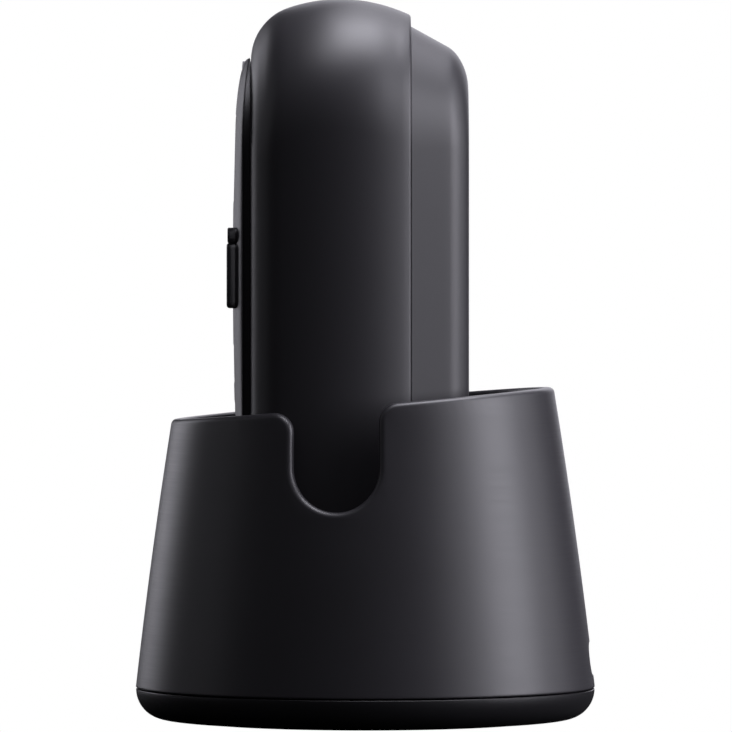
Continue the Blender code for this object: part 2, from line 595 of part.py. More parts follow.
def handset_inside(handset, green, black, silver, gold, wrap):
    """Boards, chassis, loudspeakers, microphone, antenna and the two cells."""
    mat = rounded(0, 48.8, 12.9, 25.2, 2.0, 2)
    finish(add_prism(bmesh.new(), mat, -16.35, -15.65, "Y"), "keypad_mat", black, handset)
    board = tombstone(13.6, 21.5, 84.5, 1.5, 4.0, 2, 3)
    finish(add_prism(bmesh.new(), board, -14.6, -13.4, "Y"), "main_pcb", green, handset)
    plate = tombstone(17.0, 14.2, 95.0, 2.0, 6.0, 2, 3)
    chassis = finish(add_prism(bmesh.new(), plate, -11.6, -10.4, "Y"), "inner_chassis", black, handset)
    columns = bmesh.new()
    holes = bmesh.new()
    for x, z in HANDSET_SCREWS:
        sides = circle(x, z, 2.2 if z > 50 else 1.6, 16)
        add_prism(columns, sides, -10.8, BAND_BACK - 0.2, "Y")
        add_prism(holes, circle(x, z, SCREW_SHANK + 0.2, 12), -2.0, 12.0, "Y")
    change(chassis, columns, "column_join", "UNION")
    change(chassis, holes, "column_holes")
    finish(add_turned(bmesh.new(), [(0, -15.05), (4.6, -15.05), (5.2, -14.7), (5.2, -13.4), (3.6, -12.2),
                                    (0, -12.2)], (0, 0, 91.0), "Y", 20), "earpiece_speaker", silver, handset)
    finish(add_turned(bmesh.new(), [(0, 7.6), (4.6, 7.6), (5.0, 8.2), (6.8, 12.4), (6.8, 13.6), (0, 13.6)],
                      (0, 0, RINGER_Z), "Y", 24), "ringer_speaker", silver, handset)
    finish(add_turned(bmesh.new(), [(0, -17.6), (1.7, -17.6), (1.7, -15.9), (0, -15.9)],
                      (0, 0, MIC_Z), "Y", 14), "microphone", silver, handset)
    strip = tombstone(9.0, 97.2, 102.0, 0.5, 3.0, 1, 4)
    finish(add_prism(bmesh.new(), strip, -9.6, -8.8, "Y"), "antenna", gold, handset)
    for side, name in ((1, "battery_cell_right"), (-1, "battery_cell_left")):
        profile = [(0, 21.0), (4.0, 21.0), (CELL_RADIUS, 21.5), (CELL_RADIUS, 64.2), (4.8, 64.6), (1.9, 64.6),
                   (1.9, 65.5), (0, 65.5)]
        finish(add_turned(bmesh.new(), profile, (side * 5.4, 7.9, 0), sides=20), name, wrap, handset)
    for name, low in (("battery_terminal_top", 65.9), ("battery_terminal_bottom", 20.1)):
        plate = rounded(0, 7.9, 10.0, 3.6, 0.8, 2)
        finish(add_prism(bmesh.new(), plate, low, low + 0.5), name, silver, handset)
    for side, name in ((1, "charge_pad_right"), (-1, "charge_pad_left")):
        outline = rounded(side * PIN_X, PIN_Y, 2.1, 1.9, 0.5, 2)
        finish(add_prism(bmesh.new(), outline, BOTTOM + 0.8, BOTTOM + 1.3), name, gold, handset)


def back_shell(handset, material, door_material, steel):
    front = BAND_BACK + GAP
    stations = [front, 10.0, 12.4, 13.6, 14.5, 15.1, BACK]
    shell = finish(add_stack(bmesh.new(), [lift(back_outline(y), y, "Y") for y in stations]),
                   "back_shell", material, handset)
    hollow = [front, 10.0, 12.4, 14.0]
    loops = [lift(back_outline(front, SHELL), front - 2.0, "Y")]
    loops += [lift(back_outline(y, SHELL), y, "Y") for y in hollow]
    change(shell, add_stack(bmesh.new(), loops), "back_hollow")
    bosses = bmesh.new()
    for x, z in HANDSET_SCREWS:
        add_prism(bosses, circle(x, z, 2.3 if z > 50 else 1.9, 16), front + 0.2, 14.4, "Y")
    add_prism(bosses, rounded(0, 70.4, 3.2, 3.6, 0.6, 2), 10.8, 13.7, "Y")
    change(shell, bosses, "back_bosses", "UNION")
    bridge = rounded(0, 72.8, 3.2, 1.2, 0.6, 2)
    change(shell, add_prism(bmesh.new(), bridge, 13.0, 14.5, "Y"), "screw_bridge", "UNION")
    cuts = bmesh.new()
    cx, cz, half_x, half_z = DOOR
    add_prism(cuts, rounded(cx, cz, half_x + GAP, half_z + GAP, 2.0, 4), 12.0, 18.0, "Y")
    for row in range(3):
        add_prism(cuts, rounded(0, RINGER_Z + 3.0 * (row - 1), 5.0, 0.5, 0.45, 3), 12.0, 18.0, "Y")
    for x, z in HANDSET_SCREWS:
        add_screw_well(cuts, x, z, 0.0, 13.3)
    add_prism(cuts, circle(0, DOOR_SCREW_Z, SCREW_SHANK + 0.2, 12), 9.0, 13.9, "Y")
    change(shell, cuts, "back_openings")
    door = finish(add_prism(bmesh.new(), rounded(cx, cz, half_x, half_z, 1.7, 4), 14.0, BACK, "Y"),
                  "battery_door", door_material, handset)
    change(door, add_screw_well(bmesh.new(), 0, DOOR_SCREW_Z, 10.0, 14.3), "door_well")
    screw("battery_door_screw", steel, handset, (0, 15.3, DOOR_SCREW_Z), "Y", 3.8, True, 0.7)


def add_screw_well(bm, x, z, start, seat):
    """Hole for a screw's shank with a wider well for its head, open to the back."""
    bore, mouth = SCREW_SHANK + 0.2, SCREW_HEAD + 0.2
    profile = ((bore, start), (bore, seat), (mouth, seat + 0.01), (mouth, BACK + 2.0))
    return add_stack(bm, [lift(circle(x, z, radius, 16), y, "Y") for radius, y in profile])


def clear_scene():
    for thing in list(bpy.data.objects):
        bpy.data.objects.remove(thing, do_unlink=True)


def main():
    clear_scene()
    shell = plastic("charcoal_abs", (0.030, 0.029, 0.032), 0.45)
    key_grey = plastic("key_rubber_grey", (0.045, 0.044, 0.048), 0.55)
    black = plastic("black_plastic", (0.012, 0.012, 0.013), 0.5)
    rubber = plastic("foot_rubber", (0.015, 0.015, 0.016), 0.85)
    lens = plastic("smoked_acrylic", (0.008, 0.009, 0.011), 0.08)
    green_board = plastic("circuit_board", (0.02, 0.12, 0.05), 0.45)
    talk = plastic("talk_green", (0.03, 0.22, 0.07), 0.5)
    end = plastic("end_red", (0.35, 0.025, 0.02), 0.5)
    steel = plastic("zinc_steel", (0.45, 0.45, 0.46), 0.35, 1.0)
    gold = plastic("gold_contact", (0.75, 0.52, 0.2), 0.3, 1.0)
    wrap = plastic("cell_wrap", (0.08, 0.2, 0.3), 0.4)
    base = anchor("base_frame", 0.0)
    handset = anchor("handset_frame", BOTTOM)

    base_housing(base, shell)
    cradle_insert(base, black)
    base_bottom_pan(base, black)
    inner = FOOT_RADIUS - FOOT_WIDTH
    ring = [(inner, 0.0), (FOOT_RADIUS, 0.0), (FOOT_RADIUS, FOOT_THICK), (inner, FOOT_THICK)]
    finish(add_turned(bmesh.new(), ring, (0, 0, 0), sides=48, ring=True), "foot_ring", rubber, base)
    for number, (x, y) in enumerate(BASE_SCREWS, 1):
        screw(f"base_screw_{number}", steel, base, (x, y, 1.1), "Z", 8.7)
    base_inside(base, black, green_board, steel, gold, black)

    body_band(handset, shell)
    front_cover(handset, shell)
    display(handset, lens, black)
    keys(handset, key_grey, talk, end, black)
    handset_inside(handset, green_board, black, steel, gold, wrap)
    back_shell(handset, shell, shell, steel)
    for number, (x, z) in enumerate(HANDSET_SCREWS, 1):
        screw(f"handset_screw_{number}", steel, handset, (x, 14.9, z), "Y", 12.0, turn_over=True)


main()
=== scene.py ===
"""Looks of the cordless phone and its round charging base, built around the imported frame.

The frame gives the places in metres. Shapes are drawn in millimetres and scaled once, when a piece
is made. +Z is up, the keypad faces -Y, and +X is the narrow side of the phone.
"""
import math

import bmesh
import bpy
from mathutils import Matrix, Vector


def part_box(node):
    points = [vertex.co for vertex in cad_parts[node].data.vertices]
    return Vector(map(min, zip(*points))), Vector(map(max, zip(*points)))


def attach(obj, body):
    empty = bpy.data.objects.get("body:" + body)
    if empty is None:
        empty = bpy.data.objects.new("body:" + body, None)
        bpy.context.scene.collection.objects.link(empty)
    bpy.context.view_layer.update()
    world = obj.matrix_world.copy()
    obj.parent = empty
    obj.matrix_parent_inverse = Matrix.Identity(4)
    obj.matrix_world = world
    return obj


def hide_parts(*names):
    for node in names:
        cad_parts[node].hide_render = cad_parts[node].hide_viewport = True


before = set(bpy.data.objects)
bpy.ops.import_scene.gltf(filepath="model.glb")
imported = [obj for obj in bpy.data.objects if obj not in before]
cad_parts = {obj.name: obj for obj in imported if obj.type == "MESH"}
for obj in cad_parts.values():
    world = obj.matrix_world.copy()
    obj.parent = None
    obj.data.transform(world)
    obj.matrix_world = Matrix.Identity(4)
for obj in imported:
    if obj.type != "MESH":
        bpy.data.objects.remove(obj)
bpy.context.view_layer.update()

MM = 0.001


def box(node):
    """Lowest and highest corner of a CAD node, in millimetres."""
    low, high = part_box(node)
    return low / MM, high / MM


def middle(node):
    low, high = box(node)
    return (low + high) / 2


def half_size(node):
    low, high = box(node)
    return (high - low) / 2


# ---------------------------------------------------------------- sizes of the base

GAP = 0.3                       # clearance between neighbouring pieces
SEAM_Z = 4.9                    # joint between the cup wall and the bottom pan
SEAM_SHUT = 0.08                # half of the fine shadow line left at that joint
SEAM_RADIUS = box("base_bottom_pan")[1].x
TAPER_TOP_Z = 50.8              # height at which the wall's taper is stated
TAPER_TOP_RADIUS = 28.1
WALL_BULGE = 0.3                # how far the wall bows out of a straight taper
WALL = 1.8
RIM_Z = 47.6                    # slanted rim: its height on the axis
RIM_SLOPE = 0.083               # and its rise towards +Y
RIM_EDGE = 0.75                 # rounding of the rim and of the finger notches
NOTCH_Y = -4.4
NOTCH_BOTTOM = 32.0
NOTCH_RADIUS = 6.5
NOTCH_CORNER = 2.8
ROLL_RADIUS = 31.0              # radius at which the wall is drawn flat, before it is rolled up
PAN_EDGE_RADIUS = 30.1          # the pan's side is a quarter of an ellipse
PAN_EDGE_WIDTH = 4.3
PAN_EDGE_HEIGHT = 4.5
DECK_TOP = box("cradle_insert")[1].z
DECK_THICK = 1.5
POCKET_FLOOR = 11.7
POCKET_GAP = 0.6
POCKET_WALL = 1.2
POCKET_LIP = 1.2                # rounded lead-in around the pocket
INLET_Z = middle("inlet_shell").z

# ---------------------------------------------------------------- sizes of the handset

BAND_LOW, BAND_HIGH = box("body_band")
BAND_FRONT, BAND_BACK = BAND_LOW.y, BAND_HIGH.y
BOTTOM, TOP = BAND_LOW.z, BAND_HIGH.z
HALF_WIDTH = 23.0
SIDE_RADIUS = 25.3              # plan radius of the bowed side
SIDE_Y = -6.4
FRONT_CORNER = 4.5
CROWN_Y = -3.67                 # domed top
CROWN_RADIUS = 24.75
CROWN_CORNER = 8.0
SHOULDER = 20.0                 # corner radius seen from the front
TOE = 5.0
SHELL = 1.6
BAND_EDGE = 0.35                # rounding of the band's back edge
JOINT = 0.05                    # fine joint between the handset's shells
BACK = box("back_shell")[1].y
BACK_TOP_Z = 104.1
BACK_TOP_FALL = 1.5             # the top rear corner is this much taller than deep
BACK_SLOPE = 0.55
BACK_SIDE_SLOPE = 0.566
BACK_CORNER = 3.0
BACK_FOOT_RISE = 0.4            # the bottom rear corner is this much shorter than deep
BACK_SHOULDER = SHOULDER - 1.0
BACK_STEP = 0.1                 # the rear shell is this much smaller than the band, so its edge shows
PLATE_HALF = box("front_cover")[1].x
PLATE_TOP, PLATE_BOTTOM = 99.2, 14.5
PLATE_FRONT, PLATE_REAR = -19.65, -18.1
PLATE_THICK = PLATE_REAR - PLATE_FRONT
PLATE_PEAK_Z = 67.0
PLATE_BOW = 0.00068
PLATE_STRAIGHT_Z = 47.0         # below this height the plate is straight and leans back
PLATE_LEAN = 0.03
PLATE_ROLL = 12.0               # height over which its ends roll over
PLATE_END = 0.15                # thickness left at the very ends
PLATE_CLOSING = 14.0            # height over which the shadow gap behind it closes,
PLATE_CLOSE_BY = 0.8            # and by how much
PLATE_TOP_CORNER = 13.0
PLATE_BOTTOM_CORNER = 6.0
PLATE_SIDE_DEPTH = 1.5          # its long sides fall away by this much
PLATE_SIDE_WIDTH = 4.2          # over this width, nearly straight at first and then tighter
PLATE_SIDE_CURVE = 1.4
PLATE_END_ROUND = 0.05
NECK_HALF, NECK_BOTTOM, NECK_TOP = 14.6, 17.4, 98.5     # neck behind the plate
NECK_WALL = 1.2
NECK_TOP_CORNER, NECK_BOTTOM_CORNER = 13.0, 4.0
NECK_REAR = -15.4
FLANGE = 0.5                    # lip that holds a key behind the plate: its reach
FLANGE_THICK = 0.6
KEY_SINK = 0.05                 # a key's edge lies this far below the plate
KEY_DISH = 0.22                 # depth of the finger dish in a key
KEY_CORNER = 1.4
PANEL = (0.0, 66.65, 13.5, 4.85)    # raised panel that holds the rocker and the call keys
PANEL_FRONT = box("nav_rocker")[0].y
RIDGE = (0.0, 72.6, 13.6, 1.15)     # ridge above it, whose middle is the softkey bar
RIDGE_FRONT = box("softkey_bar")[0].y
CALL_KEYS = ("talk_key", "end_key")
OK_HALF = half_size("ok_key").x
LENS = (0.0, 83.8, 12.6, 6.9)
EARPIECE = (0.0, 93.6, 5.0, 0.8)
MIC = (0.0, 20.9, 0.6)
DIGIT_KEYS = {"key_1": "1", "key_2": "2", "key_3": "3", "key_4": "4", "key_5": "5", "key_6": "6",
              "key_7": "7", "key_8": "8", "key_9": "9", "key_star": "*", "key_0": "0", "key_hash": "#"}
BASE_SCREWS = [f"base_screw_{number}" for number in range(1, 5)]
HANDSET_SCREWS = [f"handset_screw_{number}" for number in range(1, 5)]
SCREW_SHANK = 0.9
SCREW_HEAD = 1.8
HEAD_THICK = 1.2
DOOR_HEAD_THICK = 0.7           # the battery door's screw has a thinner head
FOOT_OUTER, FOOT_INNER = 27.3, 23.2     # groove for the foot ring
RAISED_SPLAY = 1.3              # how far the short sides of a raised block slope out
INK_THICK = 0.04
INK_HEIGHT = 2.7                # height of the digits
FONT_SIZE = 10.0                # size at which characters are drawn before they are scaled,
FONT_CAPITAL = 7.0              # and the height of a capital at that size


# ---------------------------------------------------------------- outlines

def arc(centre, radius, start, end, steps):
    """Points on an arc; angles in degrees, both ends included."""
    angles = [math.radians(start + (end - start) * i / steps) for i in range(steps + 1)]
    return [(centre[0] + radius * math.cos(a), centre[1] + radius * math.sin(a)) for a in angles]


def circle(cx, cy, radius, sides=32):
    return arc((cx, cy), radius, 0, 360 * (sides - 1) / sides, sides - 1)


def rounded(cx, cy, half_x, half_y, radius, steps=6):
    """Rounded rectangle, anticlockwise."""
    radius = max(0.02, min(radius, half_x - 0.02, half_y - 0.02))
    ix, iy = half_x - radius, half_y - radius
    points = []
    for sx, sy, start in ((1, 1, 0), (-1, 1, 90), (-1, -1, 180), (1, -1, 270)):
        points += arc((cx + sx * ix, cy + sy * iy), radius, start, start + 90, steps)
    return points


def tombstone(half, bottom, top, low_radius, high_radius, steps=16):
    """Upright outline with its own corner radius at the bottom and at the top."""
    high = min(high_radius, half - 0.5)
    low = min(low_radius, half - 0.5)
    return (arc((half - high, top - high), high, 0, 90, steps)
            + arc((-half + high, top - high), high, 90, 180, steps)
            + arc((-half + low, bottom + low), low, 180, 270, steps)
            + arc((half - low, bottom + low), low, 270, 360, steps))


def edge_steps(radius, count=5):
    """(inset, depth) pairs along a rounded edge, from the side wall to the face."""
    angles = [math.pi / 2 * i / count for i in range(count + 1)]
    return [(radius * (1 - math.cos(a)), radius * (1 - math.sin(a))) for a in angles]


def wall_radius(z):
    """Outer radius of the cup wall."""
    share = (z - SEAM_Z) / (TAPER_TOP_Z - SEAM_Z)
    bulge = WALL_BULGE * 4.0 * share * (1.0 - share)
    return SEAM_RADIUS + (TAPER_TOP_RADIUS - SEAM_RADIUS) * share + bulge


def corner_drop(y, face, radius):
    """How far a corner arc that ends on the front face has fallen at depth y."""
    reach = min(radius, max(0.0, face + radius - y))
    return radius - math.sqrt(radius ** 2 - reach ** 2)


def side_half_width(y):
    """Half width of the body band at depth y."""
    drop = SIDE_RADIUS - math.sqrt(SIDE_RADIUS ** 2 - (y - SIDE_Y) ** 2)
    return HALF_WIDTH - drop - corner_drop(y, BAND_FRONT, FRONT_CORNER)


def crown_z(y):
    """Top of the body band at depth y: the dome, rounded over at the front."""
    centre = BAND_FRONT + CROWN_CORNER
    inner = CROWN_RADIUS - CROWN_CORNER
    lift = math.sqrt(inner ** 2 - (centre - CROWN_Y) ** 2)
    join = CROWN_Y + (centre - CROWN_Y) * CROWN_RADIUS / inner
    base = TOP - CROWN_RADIUS
    if y < join:
        return base + lift + math.sqrt(max(0.0, CROWN_CORNER ** 2 - (y - centre) ** 2))
    return base + math.sqrt(CROWN_RADIUS ** 2 - (y - CROWN_Y) ** 2)


def band_outline(y, inset=0.0):
    return tombstone(side_half_width(y) - inset, BOTTOM + inset, crown_z(y) - inset,
                     TOE - inset, SHOULDER - inset)


def back_corner_drop(y):
    reach = min(BACK_CORNER, max(0.0, y - (BACK - BACK_CORNER)))
    return BACK_CORNER - math.sqrt(BACK_CORNER ** 2 - reach ** 2)


def back_half_width(y):
    straight = side_half_width(BAND_BACK) - BACK_SIDE_SLOPE * (y - BAND_BACK)
    return straight - back_corner_drop(y)


def back_outline(y, inset=0.0):
    top = BACK_TOP_Z - BACK_SLOPE * (y - BAND_BACK) - BACK_TOP_FALL * back_corner_drop(y)
    return tombstone(back_half_width(y) - inset, BOTTOM + inset + BACK_FOOT_RISE * back_corner_drop(y),
                     top - inset, TOE - inset, BACK_SHOULDER - inset)


def plate_rear_y(z):
    """Rear surface of the plate: it closes on the body towards both ends."""
    reach = max(0.0, z - (PLATE_TOP - PLATE_CLOSING), PLATE_BOTTOM + PLATE_CLOSING - z) / PLATE_CLOSING
    return PLATE_REAR + PLATE_CLOSE_BY * min(1.0, reach) ** 2


def plate_front_y(z):
    """Front surface of the plate: a gentle bow, straight below the rim, rounded at both ends."""
    y = PLATE_FRONT + PLATE_BOW * (max(z, PLATE_STRAIGHT_Z) - PLATE_PEAK_Z) ** 2
    y += PLATE_LEAN * max(0.0, PLATE_STRAIGHT_Z - z)
    end = min(PLATE_TOP - z, z - PLATE_BOTTOM)
    reach = min(1.0, max(0.0, 1.0 - end / PLATE_ROLL))
    return y + (plate_rear_y(z) - y - PLATE_END) * (1.0 - math.sqrt(1.0 - reach ** 2))


def neck_outline(inset):
    """Neck that joins the plate to the body, seen from the front."""
    return tombstone(NECK_HALF - inset, NECK_BOTTOM + inset, NECK_TOP - inset,
                     NECK_BOTTOM_CORNER - inset, NECK_TOP_CORNER - inset)


def face_y(name, z):
    """Depth at a height of the surface that a key lies in."""
    return PANEL_FRONT if name in CALL_KEYS else plate_front_y(z)


def pocket_outline(gap):
    """Plan of the handset with a clearance: front plate, band and back shell in one outline."""
    half = [(PLATE_HALF - 2.5, PLATE_FRONT - 0.1), (PLATE_HALF - 1.0, PLATE_FRONT)]
    half += [(PLATE_HALF, PLATE_FRONT + 0.6)]
    half += [(18.9, BAND_FRONT), (20.1, -16.6), (20.9, -15.8), (21.7, -14.4), (22.2, -12.6)]
    half += [(side_half_width(y), y) for y in (-9.6, -6.4, -3.8, -1.0, 1.2, 3.0, 5.0, BAND_BACK)]
    half += [(back_half_width(y), y) for y in (8.6, 10.5, 12.4, 13.4, 14.2, 14.9)]
    half += [(back_half_width(BACK) + 0.6, BACK)]
    right = []
    for x, y in half:
        push = Vector((x, y * 0.9)).normalized() * gap * 1.15
        right.append((x + push.x, y + push.y))
    return right + [(-x, y) for x, y in reversed(right)]


# ---------------------------------------------------------------- building tools

def lift(points, height, axis="Z"):
    """Puts a flat outline at a height along an axis."""
    if axis == "Z":
        return [(a, b, height) for a, b in points]
    if axis == "Y":
        return [(a, height, b) for a, b in points]
    return [(height, a, b) for a, b in points]


def stack(loops):
    """One closed skin through a row of matching outlines, by extruding face after face."""
    bm = bmesh.new()
    face = bm.faces.new([bm.verts.new(point) for point in loops[0]])
    for count, loop in enumerate(loops[1:]):
        made = bmesh.ops.extrude_face_region(bm, geom=[face])["geom"]
        old = face
        face = [item for item in made if isinstance(item, bmesh.types.BMFace)][0]
        for vert, point in zip(face.verts, loop):
            vert.co = point
        if count:
            bm.faces.remove(old)
    return bm


def prism(points, low, high, axis="Z"):
    return stack([lift(points, low, axis), lift(points, high, axis)])


def cushioned(outline, low, high, low_edge, high_edge, axis="Z"):
    """Prism with rounded edges; outline is a function of the inset."""
    loops = [lift(outline(inset), low + depth, axis) for inset, depth in reversed(edge_steps(low_edge))]
    loops += [lift(outline(inset), high - depth, axis) for inset, depth in edge_steps(high_edge)]
    return stack(loops)


def turned(profile, centre=(0, 0, 0), axis="Z", sides=48, ring=False):
    """Spins a profile of (radius, height); a ring's profile is closed and clear of the axis."""
    bm = bmesh.new()
    verts = [bm.verts.new((radius, 0, height)) for radius, height in profile]
    pairs = list(zip(verts, verts[1:])) + ([(verts[-1], verts[0])] if ring else [])
    edges = [bm.edges.new(pair) for pair in pairs]
    bmesh.ops.spin(bm, geom=verts + edges, axis=(0, 0, 1), cent=(0, 0, 0),
                   steps=sides, angle=math.tau, use_merge=True)
    bmesh.ops.remove_doubles(bm, verts=bm.verts, dist=0.0005)
    if axis == "Y":
        bmesh.ops.rotate(bm, verts=bm.verts, cent=(0, 0, 0), matrix=Matrix.Rotation(-math.pi / 2, 3, "X"))
    bmesh.ops.translate(bm, verts=bm.verts, vec=centre)
    return bm


def absorb(bm, other):
    """Adds another bmesh's faces to this one."""
    scratch = bpy.data.meshes.new("scratch")
    other.to_mesh(scratch)
    other.free()
    bm.from_mesh(scratch)
    bpy.data.meshes.remove(scratch)
    return bm


def together(shapes):
    bm = bmesh.new()
    for shape in shapes:
        absorb(bm, shape)
    return bm


def loose_object(bm, name):
    bmesh.ops.recalc_face_normals(bm, faces=bm.faces)
    mesh = bpy.data.meshes.new(name)
    bm.to_mesh(mesh)
    bm.free()
    thing = bpy.data.objects.new(name, mesh)
    bpy.context.scene.collection.objects.link(thing)
    return thing


def discard(thing):
    mesh = thing.data
    bpy.data.objects.remove(thing)
    bpy.data.meshes.remove(mesh)


def carve(bm, cutter, operation="DIFFERENCE"):
    """Cuts a closed solid out of another one, or joins it on."""
    body = loose_object(bm, "carved")
    tool = loose_object(cutter, "cutter")
    boolean = body.modifiers.new("carve", "BOOLEAN")
    boolean.operation = operation
    boolean.object = tool
    boolean.solver = "EXACT"
    result = bmesh.new()
    result.from_object(body, bpy.context.evaluated_depsgraph_get())
    discard(body)
    discard(tool)
    return result


def slice_across(bm, direction, places, tidy=0):
    """Adds edge loops where flat planes cross the mesh; tidy -1 or 1 clears what lies beyond."""
    for place in places:
        geometry = bm.verts[:] + bm.edges[:] + bm.faces[:]
        bmesh.ops.bisect_plane(bm, geom=geometry, dist=0.0001, plane_co=Vector(direction) * place,
                               plane_no=direction, clear_inner=tidy < 0, clear_outer=tidy > 0)
    return bm


def spread(low, high, step):
    """Even places strictly between two ends, close to a step apart."""
    count = max(1, round((high - low) / step))
    return [low + (high - low) * i / count for i in range(1, count)]


def make_piece(bm, name, material, body, slot, *nodes, sharp=34.0):
    """Finishes a mesh: outward normals, metres, smooth shading, material, body and what it stands for."""
    bmesh.ops.remove_doubles(bm, verts=bm.verts, dist=0.0005)
    bmesh.ops.recalc_face_normals(bm, faces=bm.faces)
    bmesh.ops.scale(bm, verts=bm.verts, vec=(MM, MM, MM))
    mesh = bpy.data.meshes.new(name)
    bm.to_mesh(mesh)
    bm.free()
    mesh.shade_smooth()
    mesh.set_sharp_from_angle(angle=math.radians(sharp))
    mesh.materials.append(material)
    piece = bpy.data.objects.new(name, mesh)
    bpy.context.scene.collection.objects.link(piece)
    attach(piece, body)
    if nodes:
        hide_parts(*nodes)


# ---------------------------------------------------------------- materials

def linear(code):
    """sRGB hex colour as linear RGBA."""
    parts = [int(code[i:i + 2], 16) / 255 for i in (1, 3, 5)]
    return tuple(c / 12.92 if c <= 0.04045 else ((c + 0.055) / 1.055) ** 2.4 for c in parts) + (1.0,)


def add_node(material, kind, inputs=None, **settings):
    """Adds a node; an input is a value, or the socket that feeds it."""
    tree = material.node_tree
    node = tree.nodes.new(kind)
    for key, value in settings.items():
        setattr(node, key, value)
    for key, value in (inputs or {}).items():
        if isinstance(value, bpy.types.NodeSocket):
            tree.links.new(value, node.inputs[key])
        else:
            node.inputs[key].default_value = value
    return node


def surface(name, deep, pale, roughness, spread_of_gloss=0.04, cloud_mm=14.0, grain_mm=0.3, relief_mm=0.004,
            stretch=(1.0, 1.0, 1.0), metallic=0.0, ior=1.5, coat=0.0):
    """Finish with cloudy colour, a fine grain that also breaks up the gloss, and a shallow relief.

    deep and pale are the two tones, and the millimetres are the size of the clouds, the size of the
    grain and its depth. stretch draws the grain out along an axis, as brushing or turning does.
    """
    material = bpy.data.materials.new(name)
    material.use_nodes = True
    material.diffuse_color = linear(pale)
    shader = material.node_tree.nodes["Principled BSDF"]
    place = add_node(material, "ShaderNodeTexCoord").outputs["Object"]
    drawn = add_node(material, "ShaderNodeMapping", {"Vector": place, "Scale": stretch}).outputs["Vector"]
    cloud_scale, grain_scale = 1 / (cloud_mm * MM), 1 / (grain_mm * MM)
    cloud = add_node(material, "ShaderNodeTexNoise", {"Vector": place, "Scale": cloud_scale, "Detail": 2.0})
    grain = add_node(material, "ShaderNodeTexNoise", {"Vector": drawn, "Scale": grain_scale, "Detail": 2.0})
    tone = add_node(material, "ShaderNodeMix", {0: cloud.outputs["Fac"]}, data_type="RGBA")
    tone.inputs["A"].default_value = linear(deep)
    tone.inputs["B"].default_value = linear(pale)
    colour = [socket for socket in tone.outputs if socket.type == "RGBA"][0]
    gloss = add_node(material, "ShaderNodeMapRange", {"Value": grain.outputs["Fac"],
                                                      "To Min": roughness - spread_of_gloss,
                                                      "To Max": roughness + spread_of_gloss})
    relief = add_node(material, "ShaderNodeBump", {"Height": grain.outputs["Fac"], "Distance": relief_mm * MM,
                                                   "Strength": 1.0})
    tree = material.node_tree
    tree.links.new(colour, shader.inputs["Base Color"])
    tree.links.new(gloss.outputs["Result"], shader.inputs["Roughness"])
    tree.links.new(relief.outputs["Normal"], shader.inputs["Normal"])
    shader.inputs["Metallic"].default_value = metallic
    shader.inputs["IOR"].default_value = ior
    shader.inputs["Coat Weight"].default_value = coat
    return material


# Charcoal ABS, injection moulded in a finely blasted tool: an even satin with soft, wide highlights.
handset_abs = surface("charcoal_abs_satin", "#2A292C", "#2E2D31", 0.42, ior=1.53)
# The same ABS on the cup, whose tool was turned: faint level streaks in the satin. The real lines are
# finer than 0.1 mm, and are drawn coarser here so that they show.
cup_abs = surface("charcoal_abs_turned", "#29282B", "#2F2E32", 0.40, spread_of_gloss=0.05, grain_mm=0.25,
                  relief_mm=0.003, stretch=(0.03, 0.03, 1.0), ior=1.53)
# ABS of the pan, satin from the same tool finish, drawn near-black: a tone darker than the cup as painted
# shade, so the cup seems to float.
pan_abs = surface("charcoal_abs_satin_painted_shade", "#161618", "#1B1A1D", 0.38, ior=1.53)
# ABS inside the cup, drawn near-black as painted shade so the well looks dark, and left matte and coarse so
# the well swallows light.
cradle_abs = surface("near_black_abs_matte_painted_shade", "#0F0F10", "#141415", 0.6, grain_mm=0.5, relief_mm=0.01, ior=1.53)
# Moulded thermoplastic rubber of the foot: dull, with a slightly dusty tone.
foot_rubber = surface("foot_rubber_moulded", "#121213", "#1A1A1A", 0.8, grain_mm=0.4, relief_mm=0.01, ior=1.5)
# Silicone rubber keys, moulded: dull and a little paler than the plate.
key_silicone = surface("grey_silicone_moulded", "#3C3B40", "#434247", 0.55, cloud_mm=6.0,
                       relief_mm=0.003, ior=1.41)
ok_silicone = surface("pale_silicone_moulded", "#5A595F", "#626168", 0.5, cloud_mm=4.0,
                      relief_mm=0.003, ior=1.41)
talk_silicone = surface("green_silicone_moulded", "#24603A", "#2B6B43", 0.5, cloud_mm=4.0,
                        relief_mm=0.003, ior=1.41)
end_silicone = surface("red_silicone_moulded", "#7E2A27", "#8A312D", 0.5, cloud_mm=4.0,
                       relief_mm=0.003, ior=1.41)
# Black ABS of the softkey bar and rocker, satin.
nav_abs = surface("nav_abs_satin", "#232226", "#29282C", 0.4, cloud_mm=5.0, grain_mm=0.2,
                  relief_mm=0.002, ior=1.53)
# Screen-printed ink on the keys: pale grey, flat.
key_ink = surface("pale_ink_printed", "#C6C6C8", "#D2D2D4", 0.6, cloud_mm=1.0, grain_mm=0.1, relief_mm=0.001)
# Woven-look steel mesh in front of the earpiece, painted black.
grille_paint = surface("black_paint_on_steel", "#0D0D0E", "#141415", 0.45, grain_mm=0.2, relief_mm=0.003)
# Zinc-plated steel screws, stampings and the inlet's shell: cool grey, softly clouded plating.
zinc_steel = surface("zinc_plated_steel", "#A9ABAE", "#BCBEC1", 0.3, cloud_mm=1.5, grain_mm=0.15,
                     relief_mm=0.002, metallic=1.0)
# Gold-plated phosphor bronze contacts: warm, nearly polished, with fine rolling lines.
gold_plate = surface("gold_plated_bronze", "#D8AE5C", "#E6C078", 0.22, cloud_mm=1.0, grain_mm=0.1,
                     relief_mm=0.001, stretch=(1.0, 0.1, 1.0), metallic=1.0)
# Phosphated steel ballast: dark grey, matte.
ballast_steel = surface("phosphated_steel", "#4A4B4D", "#5A5B5D", 0.55, cloud_mm=5.0, grain_mm=0.2,
                        relief_mm=0.004, metallic=1.0)
